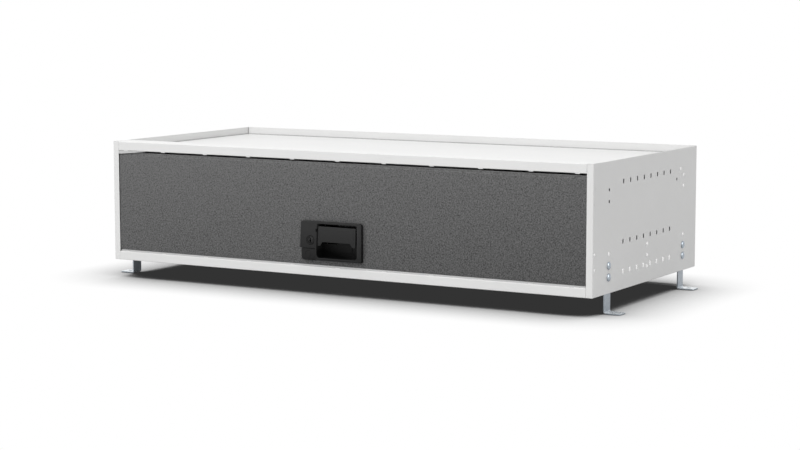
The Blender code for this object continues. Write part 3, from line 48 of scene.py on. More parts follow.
SHELL_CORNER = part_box("side_panel_left")[0]
INTO_FRAME = Matrix.Translation((0, SHELL_CORNER.y, SHELL_CORNER.z)) @ Matrix.Scale(MILLIMETRE, 4)

WIDTH, DEPTH, HEIGHT = 1250, 570, 282
SIDES = {"left": -1, "right": 1}
SHEET = 1.5  # thickness of the folded steel
SEAT = 0.3  # gap between pieces that touch
PAST = 2  # how far a cutter runs out of what it cuts
FOLD, OUTER_FOLD, FOLD_STEPS = 1.75, 1.6, 8

# The shell.
SIDE_FLANGE = 15.2
FRONT_GAP = 15.8  # from a side's outer face to the end of a front rail
RAIL = 20.3
TRAY_REACH, TRAY_TOP = 620, 264.5
REAR_WEB = 566.7
RIVETS = (142, 367, 592)

# The feet: a strap stands further in at the rear, where the rear panel's flange lies between.
FEET = {"front": 80.5, "rear": 491.5}
STRAP_SEAT = {"front": SHEET + SEAT, "rear": 2 * (SHEET + SEAT)}
STRAP, STRAP_WIDTH, SOLE = 3, 30, -42
BOLTS = {"lower": 35, "upper": 60}

# The rows of holes and slots in the sides.
HOLE = 7
MIDDLE_COLUMN = sum(FEET.values()) / 2
LOWER_HOLES = (35, 60, 85)
UPPER_HOLES = (196.5, 221.5)
PLUGGED_HOLE, OPEN_HOLE = (473, 236.2), (452, 214)
EDGE_HOLES, EDGE_COLUMN = (58.5, 91.8, 196, 229.5), 7.5
SLOT_ROWS = (39.5, 104.5, 234)
SLOT_COLUMNS = [154.5 + 37 * number for number in range(8)]

# The slides and the drawer's box.
SLIDE_AXIS, SLIDE_FRONT, SLIDE_REAR = 60, 24, 544
SLIDE_SEAT, SLIDE_MOUTH = 13, 30.1
SCREWS = {"front": 80, "rear": 488}
BOX_FRONT, BOX_REAR, BOX_LOW, BOX_HIGH = 18.3, 540, 32, 248
BOX_INSET = 32.3
BOX_REACH = WIDTH / 2 - BOX_INSET - SHEET - SEAT

# The latch: its middle, its face, and the axes of its paddle, pawl and lock.
LATCH, FACE = 1.2, -6.7
PIN = (1, 108)
PAWL_PIN = (30, 50)
LOCK = (LATCH - 69.2, 81)

# How white the floor shows where this share of the sky is open.
FLOOR_TONES = ((0.39, 0.033), (0.44, 0.09), (0.50, 0.23), (0.60, 0.46), (0.68, 0.58), (0.81, 0.77), (0.99, 1))

FINISHES = {}
unfinished = []


def node(tree, kind, **settings):
    """Adds a shader node. A setting is a value or a socket for the input of that name, or an attribute."""
    made = tree.nodes.new("ShaderNode" + kind)
    for name, value in settings.items():
        label = name.replace("_", " ")
        if hasattr(made, name) and name.islower():
            setattr(made, name, value)
        elif isinstance(value, bpy.types.NodeSocket):
            tree.links.new(value, made.inputs[label])
        else:
            made.inputs[label].default_value = value
    return made


def joined(tree, kind, operation, *values):
    """Joins values by arithmetic, in the order of the node's inputs."""
    made = node(tree, kind, operation=operation)
    for socket, value in zip(made.inputs, values):
        if isinstance(value, bpy.types.NodeSocket):
            tree.links.new(value, socket)
        else:
            socket.default_value = value
    return made.outputs["Value"]


def blank(name):
    """A new material's node tree and its shader."""
    material = bpy.data.materials.new(name)
    material.use_nodes = True
    FINISHES[name] = material
    return material.node_tree, material.node_tree.nodes["Principled BSDF"]


def own_place(tree):
    """Where a point lies on the piece, in metres."""
    return node(tree, "TexCoord").outputs["Object"]


def noise(tree, scale, detail=2.0, stretch=None):
    """Noise over the piece's own place, in cycles a metre."""
    place = own_place(tree)
    if stretch:
        place = node(tree, "Mapping", Vector=place, Scale=stretch).outputs["Vector"]
    return node(tree, "TexNoise", Vector=place, Scale=scale, Detail=detail).outputs["Fac"]


def spread(tree, value, low, high, start=0.3, end=0.7):
    """Spreads a value between two numbers."""
    made = node(tree, "MapRange", Value=value, From_Min=start, From_Max=end, To_Min=low, To_Max=high)
    return made.outputs["Result"]


def tones(tree, value, dark, light, start=0.3, end=0.7):
    """Turns a value into a tone between two colours."""
    ramp = node(tree, "ValToRGB", Fac=value)
    for stop, place, colour in zip(ramp.color_ramp.elements, (start, end), (dark, light)):
        stop.position = place
        stop.color = (*colour, 1)
    return ramp.outputs["Color"]


def relief(tree, shader, height, strength, distance):
    """Raises the surface by a bump whose distance is in millimetres."""
    bump = node(tree, "Bump", Strength=strength, Distance=distance * MILLIMETRE, Height=height)
    tree.links.new(bump.outputs["Normal"], shader.inputs["Normal"])


def powder_coat(name, dark, light, rough=0.34, gloss=0.5):
    """Satin powder coat: faint orange peel and hardly any change of tone."""
    tree, shader = blank(name)
    shader.inputs["Specular IOR Level"].default_value = gloss
    tree.links.new(tones(tree, noise(tree, 9, 3), dark, light), shader.inputs["Base Color"])
    tree.links.new(spread(tree, noise(tree, 140), rough - 0.04, rough + 0.04), shader.inputs["Roughness"])
    relief(tree, shader, noise(tree, 900), 0.10, 0.05)


def plated(name, dark, light, rough, drawn=(1, 1, 1), metal=1):
    """Bright plated or rolled steel: cloudy tone, fine drawn lines."""
    tree, shader = blank(name)
    shader.inputs["Metallic"].default_value = metal
    tree.links.new(tones(tree, noise(tree, 160, 4), dark, light), shader.inputs["Base Color"])
    tree.links.new(spread(tree, noise(tree, 300, 3), rough - 0.06, rough + 0.08), shader.inputs["Roughness"])
    relief(tree, shader, noise(tree, 700, 2, drawn), 0.15, 0.04)


def grained_laminate():
    """The dark front: a leather grain of small pebbles, clustered unevenly, with darker valleys. Painted light makes
    it lighter towards its top and a little darker to the right, as the light falls on it."""
    tree, shader = blank("grained_laminate")
    place = own_place(tree)
    pebbles = node(tree, "TexVoronoi", feature="SMOOTH_F1", Vector=place, Scale=480)
    height = spread(tree, pebbles.outputs["Distance"], 1, 0, 0.1, 0.8)
    grain = joined(tree, "Math", "MULTIPLY_ADD", height, 0.35, noise(tree, 300, 3))
    # painted light: the tone rises with height and falls to the right, standing for how the light falls on the front
    slope = joined(tree, "VectorMath", "DOT_PRODUCT", place, (-0.088, 0, 0.62))
    shade = joined(tree, "Math", "ADD", grain, slope)
    colour = tones(tree, shade, (0.0247, 0.0247, 0.0248), (0.1415, 0.1415, 0.142), 0.50, 1.34)
    tree.links.new(colour, shader.inputs["Base Color"])
    shader.inputs["Roughness"].default_value = 0.6
    relief(tree, shader, grain, 0.45, 0.5)


def moulded_black_painted_light(name, dark, light, rough, gloss, low, high, lean=0):
    """Black moulded plastic with a fine spark-eroded texture, with painted light: between two heights its tone and
    gloss go from dark and dull to lighter and glossier, and with a lean they do so lower down on the right."""
    tree, shader = blank(name)
    # painted light: the tone and the gloss below grow with this height
    height = joined(tree, "VectorMath", "DOT_PRODUCT", own_place(tree), (lean, 0, 1))
    tree.links.new(tones(tree, spread(tree, height, 0, 1, low, high), dark, light, 0, 1), shader.inputs["Base Color"])
    tree.links.new(spread(tree, height, *gloss, low, high), shader.inputs["Specular IOR Level"])
    tree.links.new(spread(tree, noise(tree, 500), rough - 0.04, rough + 0.06), shader.inputs["Roughness"])
    relief(tree, shader, noise(tree, 2200, 1), 0.25, 0.04)


# Which way drawn lines run: up, or from the front to the rear.
UPRIGHT, LENGTHWISE = (1, 1, 0.1), (1, 0.04, 1)

powder_coat("white_coat", (0.785, 0.785, 0.780), (0.805, 0.805, 0.800))
# painted shade: a grey for the bottom rail's sill under the drawer front and for the wedge at the left of the top gap
powder_coat("painted_shade_grey", (0.56, 0.56, 0.56), (0.60, 0.60, 0.60))
# painted light: a lighter grey for the drawer front's top face, so the gap above it shows lighter
powder_coat("painted_gap_light", (0.33, 0.33, 0.33), (0.37, 0.37, 0.37), rough=0.55, gloss=0.3)
# painted shade: a grey for the groove round the tray
powder_coat("painted_groove_shade", (0.36, 0.36, 0.36), (0.42, 0.42, 0.42))
plated("plug_white", (0.95, 0.95, 0.94), (0.98, 0.98, 0.97), rough=0.14, metal=0.45)
plated("zinc", (0.35, 0.39, 0.43), (0.41, 0.45, 0.49), rough=0.32, drawn=UPRIGHT, metal=0.5)
# painted light: a lighter copy of the zinc for the upward faces of the feet's soles
plated("painted_lit_zinc", (0.85, 0.91, 0.96), (0.92, 0.96, 0.99), rough=0.24, drawn=UPRIGHT, metal=0.42)
plated("bolt_zinc", (0.32, 0.36, 0.40), (0.38, 0.42, 0.46), rough=0.22)
plated("dark_zinc", (0.020, 0.021, 0.022), (0.035, 0.036, 0.038), rough=0.45, drawn=UPRIGHT)
plated("rolled_steel", (0.50, 0.51, 0.52), (0.60, 0.61, 0.62), rough=0.28, drawn=LENGTHWISE)
plated("spring_wire", (0.30, 0.30, 0.31), (0.42, 0.42, 0.43), rough=0.32)
plated("ball_steel", (0.70, 0.70, 0.71), (0.78, 0.78, 0.79), rough=0.12)
grained_laminate()
# the bezel and the lock get painted light: lighter and glossier higher up
moulded_black_painted_light("bezel_black", (0.005, 0.005, 0.0052), (0.0080, 0.0080, 0.0082), 0.44, (0.20, 0.385), 0.074, 0.150)
# painted shade: the same black made darker for the recess and behind the paddle, with painted light growing towards
# its upper right
moulded_black_painted_light("painted_recess_shade", (0.001, 0.001, 0.001), (0.014, 0.014, 0.014), 0.70, (0.05, 0.22), 0.086, 0.116,
              lean=0.25)
moulded_black_painted_light("lock_black", (0.005, 0.005, 0.0052), (0.009, 0.009, 0.0093), 0.38, (0.32, 0.42), 0.110, 0.140)


def block(shape, low, high):
    """Adds a block between two corners."""
    low, high = Vector(map(min, low, high)), Vector(map(max, low, high))
    matrix = Matrix.Translation((low + high) / 2) @ Matrix.Diagonal((*(high - low), 1))
    bmesh.ops.create_cube(shape, size=1, matrix=matrix)
    return shape


def round_off(shape, edges, radius, steps):
    """Rounds edges."""
    bmesh.ops.bevel(shape, geom=edges, offset=radius, segments=steps, profile=0.5, affect="EDGES", material=-1)


def round_corners(shape, corners, radius, steps):
    """Rounds the corners of a flat outline."""
    bmesh.ops.bevel(shape, geom=corners, offset=radius, segments=steps, profile=0.5, affect="VERTICES", material=-1)


def along(shape, axis):
    """The edges that run along an axis."""
    return [e for e in shape.edges if abs((e.verts[1].co - e.verts[0].co).normalized()[axis]) > 0.99]


def add_shape(shape, made):
    """Puts one shape's faces into another."""
    loose = bpy.data.meshes.new("loose")
    made.to_mesh(loose)
    made.free()
    shape.from_mesh(loose)
    bpy.data.meshes.remove(loose)
    return shape


def rounded_block(shape, low, high, axis, radius, steps=5):
    """Adds a block whose edges along one axis are rounded."""
    made = block(bmesh.new(), low, high)
    round_off(made, along(made, axis), radius, steps)
    return add_shape(shape, made)


def disc(shape, axis, centre, diameter, length, steps=32):
    """Adds a cylinder about its centre, along an axis."""
    turn = {0: Matrix.Rotation(math.pi / 2, 4, "Y"), 1: Matrix.Rotation(math.pi / 2, 4, "X"), 2: Matrix()}[axis]
    bmesh.ops.create_cone(
        shape, cap_ends=True, segments=steps, radius1=diameter / 2, radius2=diameter / 2, depth=length,
        matrix=Matrix.Translation(centre) @ turn,
    )
    return shape


def in_space(corner, axis, reach):
    """The place of a flat corner: its numbers are y and z where the axis is x, and x and z where it is y."""
    first, second = corner
    return (reach, first, second) if axis == 0 else (first, reach, second)


def shift(shape, geometry, axis, distance):
    """Moves the vertices in some geometry along an axis."""
    step = Vector((0, 0, 0))
    step[axis] = distance
    bmesh.ops.translate(shape, verts=[v for v in geometry if isinstance(v, bmesh.types.BMVert)], vec=step)


def folds(shape):
    """The edges where two faces meet."""
    return [e for e in shape.edges if len(e.link_faces) == 2]


def folded(corners, axis, start, end, radius=FOLD):
    """A sheet's middle surface: a line of corners drawn out along an axis, its folds rounded."""
    shape = bmesh.new()
    points = [shape.verts.new(in_space(corner, axis, start)) for corner in corners]
    line = [shape.edges.new(pair) for pair in zip(points, points[1:])]
    shift(shape, bmesh.ops.extrude_edge_only(shape, edges=line)["geom"], axis, end - start)
    round_off(shape, folds(shape), radius, FOLD_STEPS)
    return shape


def open_box(low, high, open_sides):
    """A box's faces without its open sides, which are unit vectors."""
    shape = block(bmesh.new(), low, high)
    shape.normal_update()
    gone = [face for face in shape.faces if any(face.normal.dot(Vector(side)) > 0.5 for side in open_sides)]
    bmesh.ops.delete(shape, geom=gone, context="FACES")
    return shape


def pan(low, high, open_sides):
    """An open box whose folds are rounded."""
    shape = open_box(low, high, open_sides)
    round_off(shape, folds(shape), OUTER_FOLD, FOLD_STEPS)
    return shape


def drawn_out(outline, axis, start, end, radius=0, steps=4):
    """A flat outline with rounded corners, given thickness along an axis."""
    shape = bmesh.new()
    face = shape.faces.new([shape.verts.new(in_space(corner, axis, start)) for corner in outline])
    if radius:
        round_corners(shape, shape.verts[:], radius, steps)
        face = shape.faces[:][0]
    shift(shape, bmesh.ops.extrude_face_region(shape, geom=[face])["geom"], axis, end - start)
    bmesh.ops.recalc_face_normals(shape, faces=shape.faces[:])
    return shape


def spun(profile, centre, axis, direction, steps):
    """Spins (radius, height) points about x or y. They start and end on the axis, or come round to the first."""
    shape = bmesh.new()
    closed = profile[0] == profile[-1]
    points = []
    for radius, height in profile[:-1] if closed else profile:
        rise = direction * height
        points.append(shape.verts.new((rise, 0, radius) if axis == 0 else (0, rise, radius)))
    followers = points[1:] + points[:1] if closed else points[1:]
    edges = [shape.edges.new(pair) for pair in zip(points, followers)]
    turn = (1, 0, 0) if axis == 0 else (0, 1, 0)
    bmesh.ops.spin(shape, geom=points + edges, cent=(0, 0, 0), axis=turn, angle=2 * math.pi, steps=steps,
                   use_merge=True)
    bmesh.ops.remove_doubles(shape, verts=shape.verts[:], dist=0.001)
    bmesh.ops.recalc_face_normals(shape, faces=shape.faces[:])
    bmesh.ops.translate(shape, verts=shape.verts[:], vec=Vector(centre))
    return shape


def inset(side, distance):
    """The x of a place this far in from a side's outer face."""
    return side * (WIDTH / 2 - distance)


def to_side(shape, side):
    """Moves a shape whose x is the inset from the outer face to its side of the cabinet."""
    bmesh.ops.transform(shape, matrix=Matrix.Translation((inset(side, 0), 0, 0)) @ Matrix.Diagonal((-side, 1, 1, 1)),
                        verts=shape.verts[:])
    if side > 0:
        bmesh.ops.reverse_faces(shape, faces=shape.faces[:])
    return shape


def about_latch(outline):
    """An outline whose x is counted from the latch's middle."""
    return [(LATCH + x, z) for x, z in outline]


def placed(name, data):
    """Puts a mesh, a curve, a lamp or a camera into the scene."""
    thing = bpy.data.objects.new(name, data)
    bpy.context.scene.collection.objects.link(thing)
    return thing


def as_object(name, shape):
    """Makes an object of a shape, moved from the cabinet's millimetres into the frame."""
    mesh = bpy.data.meshes.new(name)
    bmesh.ops.transform(shape, matrix=INTO_FRAME, verts=shape.verts[:])
    shape.to_mesh(mesh)
    shape.free()
    return placed(name, mesh)


def piece(name, shape, body, finish, slot, nodes, wall=0, lean=0, edge=0.2, lining=None):
    """Makes a piece that rides on a body and stands for CAD nodes. lean 0 puts the wall both ways, 1 and -1 one way.
    A lining is a second finish, for the faces between two corners."""
    thing = as_object(name, shape)
    if wall:
        solid = thing.modifiers.new("Wall", "SOLIDIFY")
        solid.thickness = wall * MILLIMETRE
        solid.offset = lean
        solid.use_even_offset = True
    thing.data.materials.append(FINISHES[finish])
    unfinished.append((thing, body, slot, nodes, edge, lining))
    return thing


def coated_sheet(name, shape, body, node_name, lean=0, lining=None):
    """A piece of folded steel in the white coat."""
    return piece(name, shape, body, "white_coat", "white_coat", [node_name], SHEET, lean, lining=lining)


def carve(thing, cutter, operation="DIFFERENCE"):
    """Cuts a shape out of a piece, or joins it on."""
    tool = as_object(thing.name + "_tool", cutter)
    step = thing.modifiers.new("Carve", "BOOLEAN")
    step.operation = operation
    step.solver = "EXACT"
    step.object = tool


def give_lining(mesh, finish, low, high):
    """Gives a second finish to the faces whose middles lie between two corners."""
    mesh.materials.append(FINISHES[finish])
    back = INTO_FRAME.inverted()
    for face in mesh.polygons:
        if all(a < b < c for a, b, c in zip(low, back @ face.center, high)):
            face.material_index = len(mesh.materials) - 1


def settle():
    """Bakes every piece's steps into its mesh, breaks its edges, and hangs it on its body."""
    for thing, _, _, _, edge, _ in unfinished:
        for face in thing.data.polygons:
            face.use_smooth = True
        if edge:
            broken = thing.modifiers.new("Edge", "BEVEL")
            broken.width = edge * MILLIMETRE
            broken.segments = 2
            broken.limit_method = "ANGLE"
            broken.angle_limit = math.radians(35)
        # Less than the steps of a fold's inner corner, which are 0.02 mm.
        joined_up = thing.modifiers.new("Clean", "WELD")
        joined_up.merge_threshold = 0.012 * MILLIMETRE
        level = thing.modifiers.new("Level", "WEIGHTED_NORMAL")
        level.weight = 90
    bpy.context.view_layer.update()
    graph = bpy.context.evaluated_depsgraph_get()
    settled = []
    for thing, *_ in unfinished:
        settled.append(bpy.data.meshes.new_from_object(thing.evaluated_get(graph), depsgraph=graph))
    tools = {step.object for thing, *_ in unfinished for step in thing.modifiers if step.type == "BOOLEAN"}
    for mesh, (thing, body, slot, nodes, _, lining) in zip(settled, unfinished):
        if lining:
            give_lining(mesh, *lining)
        thing.modifiers.clear()
        thing.data = mesh
        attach(thing, body)
        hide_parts(*nodes)
    for tool in tools:
        bpy.data.objects.remove(tool)


def side_hole(shape, depth, height, diameter=HOLE, steps=24):
    """Adds a cutter for a round hole through a side."""
    return disc(shape, 0, (SHEET / 2, depth, height), diameter, SHEET + 2 * PAST, steps)


def side_sheet(word, side):
    """A side panel: one folded sheet, with its slots, holes and notches."""
    shape = pan((0, 0, 0), (SIDE_FLANGE, DEPTH, HEIGHT), ((1, 0, 0), (0, 0, 1)))
    panel = coated_sheet(f"side_sheet_{word}", to_side(shape, side), "carcass", f"side_panel_{word}", -1)
    notch_front, notch_rear = 35, 38
    trim = block(bmesh.new(), (-PAST, notch_front, HEIGHT - 1.5), (3.5, notch_rear, HEIGHT + PAST))
    block(trim, (11.5, SHEET, -PAST), (SIDE_FLANGE + PAST, DEPTH - SHEET, 3.5))
    carve(panel, to_side(trim, side))
    chamfer = ((-2, HEIGHT - 3.47), (3.2, HEIGHT + 2.17), (-2, HEIGHT + 2.17))
    carve(panel, to_side(drawn_out(chamfer, 1, notch_rear - 0.1, DEPTH + PAST), side))
    passages = bmesh.new()
    room = 0.8
    for end, depth in FEET.items():
        half = STRAP_WIDTH / 2 + room
        block(passages, (SHEET, depth - half, -PAST), (STRAP_SEAT[end] + STRAP + room, depth + half, 3.5))
    carve(panel, to_side(passages, side))
    slots = bmesh.new()
    for height in SLOT_ROWS:
        for depth in SLOT_COLUMNS:
            rounded_block(slots, (-PAST, depth - 3, height - 5.25), (3.5, depth + 3, height + 5.25), 0, 2.4)
    carve(panel, to_side(slots, side))
    holes = bmesh.new()
    for depth in FEET.values():
        for height in UPPER_HOLES:
            side_hole(holes, depth, height)
    for depth in (*FEET.values(), MIDDLE_COLUMN):
        for height in LOWER_HOLES:
            side_hole(holes, depth, height)
    side_hole(holes, *PLUGGED_HOLE)
    side_hole(holes, *OPEN_HOLE)
    for height in EDGE_HOLES:
        side_hole(holes, EDGE_COLUMN, height, 3, 16)
    carve(panel, to_side(holes, side))


def front_rails():
    """The rails across the front, each with its row of small tabs, and a thin wedge at the left end of the gap
    above the drawer front, whose grey is painted light and shade of the inner wall seen there.
    """
    reach = WIDTH / 2 - FRONT_GAP
    half = SHEET / 2
    top, under = HEIGHT - half, HEIGHT - RAIL + half - 0.4
    line = ((14, under), (half, under), (half, top), (59.25, top), (59.25, TRAY_TOP + SEAT))
    upper = coated_sheet("top_rail_sheet", folded(line, 0, -reach, reach, 0.95), "carcass", "front_top_rail")
    line = ((40, RAIL - half), (half, RAIL - half), (half, half), (40, half))
    # the sill under the drawer front gets painted shade in grey
    lower = coated_sheet("bottom_rail_sheet", folded(line, 0, -reach, reach, 0.95), "carcass", "front_bottom_rail",
                         lining=("painted_shade_grey", (-640, 2.8, 20.6), (640, 4.6, 25)))
    ends = bmesh.new()
    for side in SIDES.values():
        block(ends, (inset(side, SIDE_FLANGE - 0.1), 2.5, HEIGHT - SHEET), (inset(side, SHEET + SEAT), 57, HEIGHT))
    carve(upper, ends, "UNION")
    # a wedge whose grey stands for the lit and shaded inner wall seen through the gap: painted light and shade
    lip = ((-609.3, 261), (-609.3, 253.4), (-604, 253.4), (-531, 260.4), (-531, 261))
    piece("painted_gap_wedge", drawn_out(lip, 1, 0.4, 1.5), "carcass", "painted_shade_grey", "white_coat", [], edge=0.1)
    sill = block(bmesh.new(), (17 - WIDTH / 2, 3, RAIL - half), (WIDTH / 2 - 17, 4.5, 24.5))
    carve(lower, sill, "UNION")
    for rail, low, high in ((upper, HEIGHT - RAIL - 1.6, HEIGHT - RAIL + 5), (lower, RAIL - 5, RAIL + 1.6)):
        tabs = bmesh.new()
        for x in (*range(-480, 481, 120), -588, 588):
            rounded_block(tabs, (x - 5.75, 0.15, low), (x + 5.75, 1.35, high), 1, 1.2, 4)
        carve(rail, tabs, "UNION")


def tray_sheet():
    """The sunk top: a shallow pan turned down at the sides and the rear, with its tabs."""
    shape = pan((-TRAY_REACH, 16, TRAY_TOP - 20), (TRAY_REACH, 562.7, TRAY_TOP), ((0, -1, 0), (0, 0, -1)))
    tray = coated_sheet("tray_sheet", shape, "carcass", "tray_panel", -1)
    tabs = bmesh.new()
    for side in SIDES.values():
        for depth in (60, 286, 516):
            block(tabs, (inset(side, SHEET + SEAT), depth - 6, 260),
                  (side * (TRAY_REACH - SHEET / 2), depth + 6, 262))
    carve(tray, tabs, "UNION")


def rear_sheet():
    """The back: its web, two side flanges and a bottom flange, with the rivets that hold the tray."""
    reach = WIDTH / 2 - SHEET - SEAT
    inner = reach - SHEET
    front = REAR_WEB - 106
    shape = open_box((-reach, front, 2.8), (reach, REAR_WEB + SHEET, HEIGHT), ((0, 0, 1), (0, -1, 0)))
    round_off(shape, [e for e in folds(shape) if min(v.co.y for v in e.verts) > REAR_WEB], OUTER_FOLD, FOLD_STEPS)
    panel = coated_sheet("rear_sheet", shape, "carcass", "rear_panel", -1)
    trim = block(bmesh.new(), (-reach - PAST, front - PAST, 243), (reach + PAST, REAR_WEB - 1, HEIGHT + PAST))
    block(trim, (-inner, front - PAST, -PAST), (inner, REAR_WEB - 22, 6.3))
    carve(panel, trim)
    holes, rivets = bmesh.new(), bmesh.new()
    for side in SIDES.values():
        for offset in RIVETS:
            disc(holes, 1, (side * offset, REAR_WEB, HEIGHT - 8), 3.5, 8, 20)
            disc(rivets, 1, (side * offset, REAR_WEB + SHEET / 2, HEIGHT - 8), 3.4, 0.8, 20)
        for height in BOLTS.values():
            disc(holes, 0, (inset(side, 2.55), FEET["rear"], height), HOLE, 2, 24)
    carve(panel, holes)
    piece("rear_rivets", rivets, "carcass", "white_coat", "white_coat", [], edge=0.1)


def hole_plugs(word, side):
    """White plugs in the lower slots and holes and in the holes over the rear panel's flange. Each has a shank that
    fills its opening and a cap that lies on the side."""
    plugs = bmesh.new()
    top, seat, tip, small_tip = -0.5, -0.02, 1.6, 1.4
    height = SLOT_ROWS[0]
    for depth in SLOT_COLUMNS:
        rounded_block(plugs, (seat, depth - 2.85, height - 5.1), (tip, depth + 2.85, height + 5.1), 0, 2.3, 6)
        rounded_block(plugs, (top, depth - 3.4, height - 5.6), (seat, depth + 3.4, height + 5.6), 0, 2.9, 6)
    wide = [(MIDDLE_COLUMN, height) for height in LOWER_HOLES]
    wide += [(depth, LOWER_HOLES[-1]) for depth in FEET.values()]
    wide += [(FEET["rear"], height) for height in UPPER_HOLES] + [PLUGGED_HOLE]
    small = [(EDGE_COLUMN, height) for height in EDGE_HOLES[:2]]
    for places, shank, deep, cap, steps in ((wide, 6.7, tip, 7.6, 32), (small, 2.8, small_tip, 5.4, 16)):
        for depth, height in places:
            disc(plugs, 0, ((seat + deep) / 2, depth, height), shank, deep - seat, steps)
            disc(plugs, 0, ((top + seat) / 2, depth, height), cap, seat - top, steps)
    rims = [e for e in plugs.edges if max(v.co.x for v in e.verts) < -0.1]
    round_off(plugs, rims, 0.4, 2)
    piece(f"hole_plugs_{word}", to_side(plugs, side), "carcass", "plug_white", "white_coat", [], edge=0)


def painted_groove_strip():
    """A grey strip that lies in the groove round the tray, at both sides and the rear: painted shade where the
    tray meets them.
    """
    strip = bmesh.new()
    low, high, back = TRAY_TOP - 2, TRAY_TOP + 1.3, REAR_WEB - SEAT
    for side in SIDES.values():
        inner, outer = side * (TRAY_REACH + 0.3), side * (TRAY_REACH + 3.2)
        rounded_block(strip, (inner, 60.5, low), (outer, back, high), 1, 0.9, 3)
    rounded_block(strip, (-TRAY_REACH - 0.2, 563.5, low), (TRAY_REACH + 0.2, back, high), 0, 0.9, 3)
    piece("painted_groove_strip", strip, "carcass", "painted_groove_shade", "grained_grey", [], edge=0)


def foot_strap(word, side, end):
    """A plated strap bent out under the shell, the corners at both its ends rounded."""
    middle = STRAP_SEAT[end] + STRAP / 2
    plate = SOLE + STRAP / 2
    depth, half = FEET[end], STRAP_WIDTH / 2
    head, tip = 95, -34.5
    shape = folded(((middle, head), (middle, plate), (tip, plate)), 1, depth - half, depth + half, 4.5)
    tips = [v for v in shape.verts if v.co.x < tip + 0.1]
    heads = [v for v in shape.verts if v.co.z > head - 0.1]
    round_corners(shape, tips, 3.5, 5)
    round_corners(shape, [v for v in heads if v.is_valid], 3.5, 5)
    # the upward faces of the sole get the lighter copy of the zinc: painted light
    strap = piece(f"foot_strap_{end}_{word}", to_side(shape, side), "carcass", "zinc", "zinc",
                  [f"foot_{end}_{word}"], STRAP, edge=0.35,
                  lining=("painted_lit_zinc", (-700, 0, plate + 0.8), (700, 600, plate + 2.1)))
    holes = bmesh.new()
    for height in LOWER_HOLES:
        disc(holes, 0, (middle, depth, height), HOLE, 8, 28)
    disc(holes, 2, (-16.5, depth, plate), 9, 8, 32)
    carve(strap, to_side(holes, side))


def thread(radius, start, end, pitch=1.0, cut=0.35):
    """Outline of a threaded shank from its head to its tip."""
    outline = [(radius, start)]
    height = start - 3 * pitch
    while height > end + pitch:
        outline += [(radius, height), (radius - cut, height - pitch / 2)]
        height -= pitch
    outline += [(radius, end + pitch), (radius - cut, end), (0, end)]
    return outline


def cup_bolt(word, side, end, level):
    """A cup-head bolt, with a low dome outside and a threaded shank inside, and its nut."""
    depth, height = FEET[end], BOLTS[level]
    head, rise, rim, steps = 8.7, 3.9, 0.3, 14
    outline = []
    for step in range(steps + 1):
        angle = math.pi / 2 * step / steps
        outline.append((head * math.sin(angle), SEAT + rim + (rise - rim) * math.cos(angle)))
    outline += [(head - 0.2, SEAT), (3, SEAT), *thread(3, 0, -12)]
    piece(f"cup_head_bolt_{end}_{word}_{level}", spun(outline, (inset(side, 0), depth, height), 0, side, 40),
          "carcass", "bolt_zinc", "zinc", [f"cup_bolt_{end}_{word}_{level}"], edge=0)
    seat = STRAP_SEAT[end] + STRAP + SEAT
    thick, flats = 5, 10
    centre = (inset(side, seat + thick / 2), depth, height)
    nut = disc(bmesh.new(), 0, centre, flats / math.cos(math.pi / 6), thick, 6)
    hexagon = piece(f"hexagon_nut_{end}_{word}_{level}", nut, "carcass", "zinc", "zinc",
                    [f"nut_{end}_{word}_{level}"], edge=0.1)
    lens = [(0, thick + 0.29), (4.4, thick + 0.29), (5.9, 4.42), (5.9, 0.58), (4.4, -0.29), (0, -0.29)]
    carve(hexagon, spun(lens, (inset(side, seat), depth, height), 0, -side, 40), "INTERSECT")
    carve(hexagon, disc(bmesh.new(), 0, centre, 6.6, 9, 28))


def slide_set(word, side):
    """One telescopic slide: its carrier, three members and two cages of balls."""
    web, edge, reach, lip = 2.55, 11.95, 32.25, 18.25
    corners = ((edge, -lip), (edge, -reach), (web, -reach), (web, reach), (edge, reach), (edge, lip))
    line = [(x, z + SLIDE_AXIS) for x, z in corners]
    coated_sheet(f"carrier_channel_{word}", to_side(folded(line, 1, 104, 456), side), "carcass",
                 f"slide_channel_{word}")
    wall = 1.8
    for label, body, web, height, lip in (
        ("cabinet", "carcass", SLIDE_SEAT + wall / 2, 70, 4.5),
        ("middle", f"slide_middle_{word}", SLIDE_SEAT + 5.1, 57.2, 2.25),
        ("drawer", "drawer", SLIDE_SEAT + 18.1, 44.4, 0),
    ):
        reach = (height - wall) / 2
        edge = SLIDE_MOUTH if label != "drawer" else SLIDE_SEAT + 9.5
        upper = [(web, reach), (edge, reach)] + ([(edge, reach - lip)] if lip else [])
        lower = [(x, -z) for x, z in reversed(upper)]
        line = [(x, z + SLIDE_AXIS) for x, z in lower + upper]
        member = piece(f"{label}_member_{word}", to_side(folded(line, 1, SLIDE_FRONT, SLIDE_REAR, 1.7), side), body,
                       "rolled_steel", "bright_steel", [f"slide_{label}_member_{word}"], wall, edge=0.15)
        holes = bmesh.new()
        for depth in SCREWS.values() if label == "drawer" else (60, 190, 380, 510):
            disc(holes, 0, (web, depth, SLIDE_AXIS), 5.3, 6, 24)
        carve(member, to_side(holes, side))
    cage_and_balls("outer", word, side, SLIDE_SEAT + 3, 30.85)
    cage_and_balls("inner", word, side, SLIDE_SEAT + 7.75, 24.45)


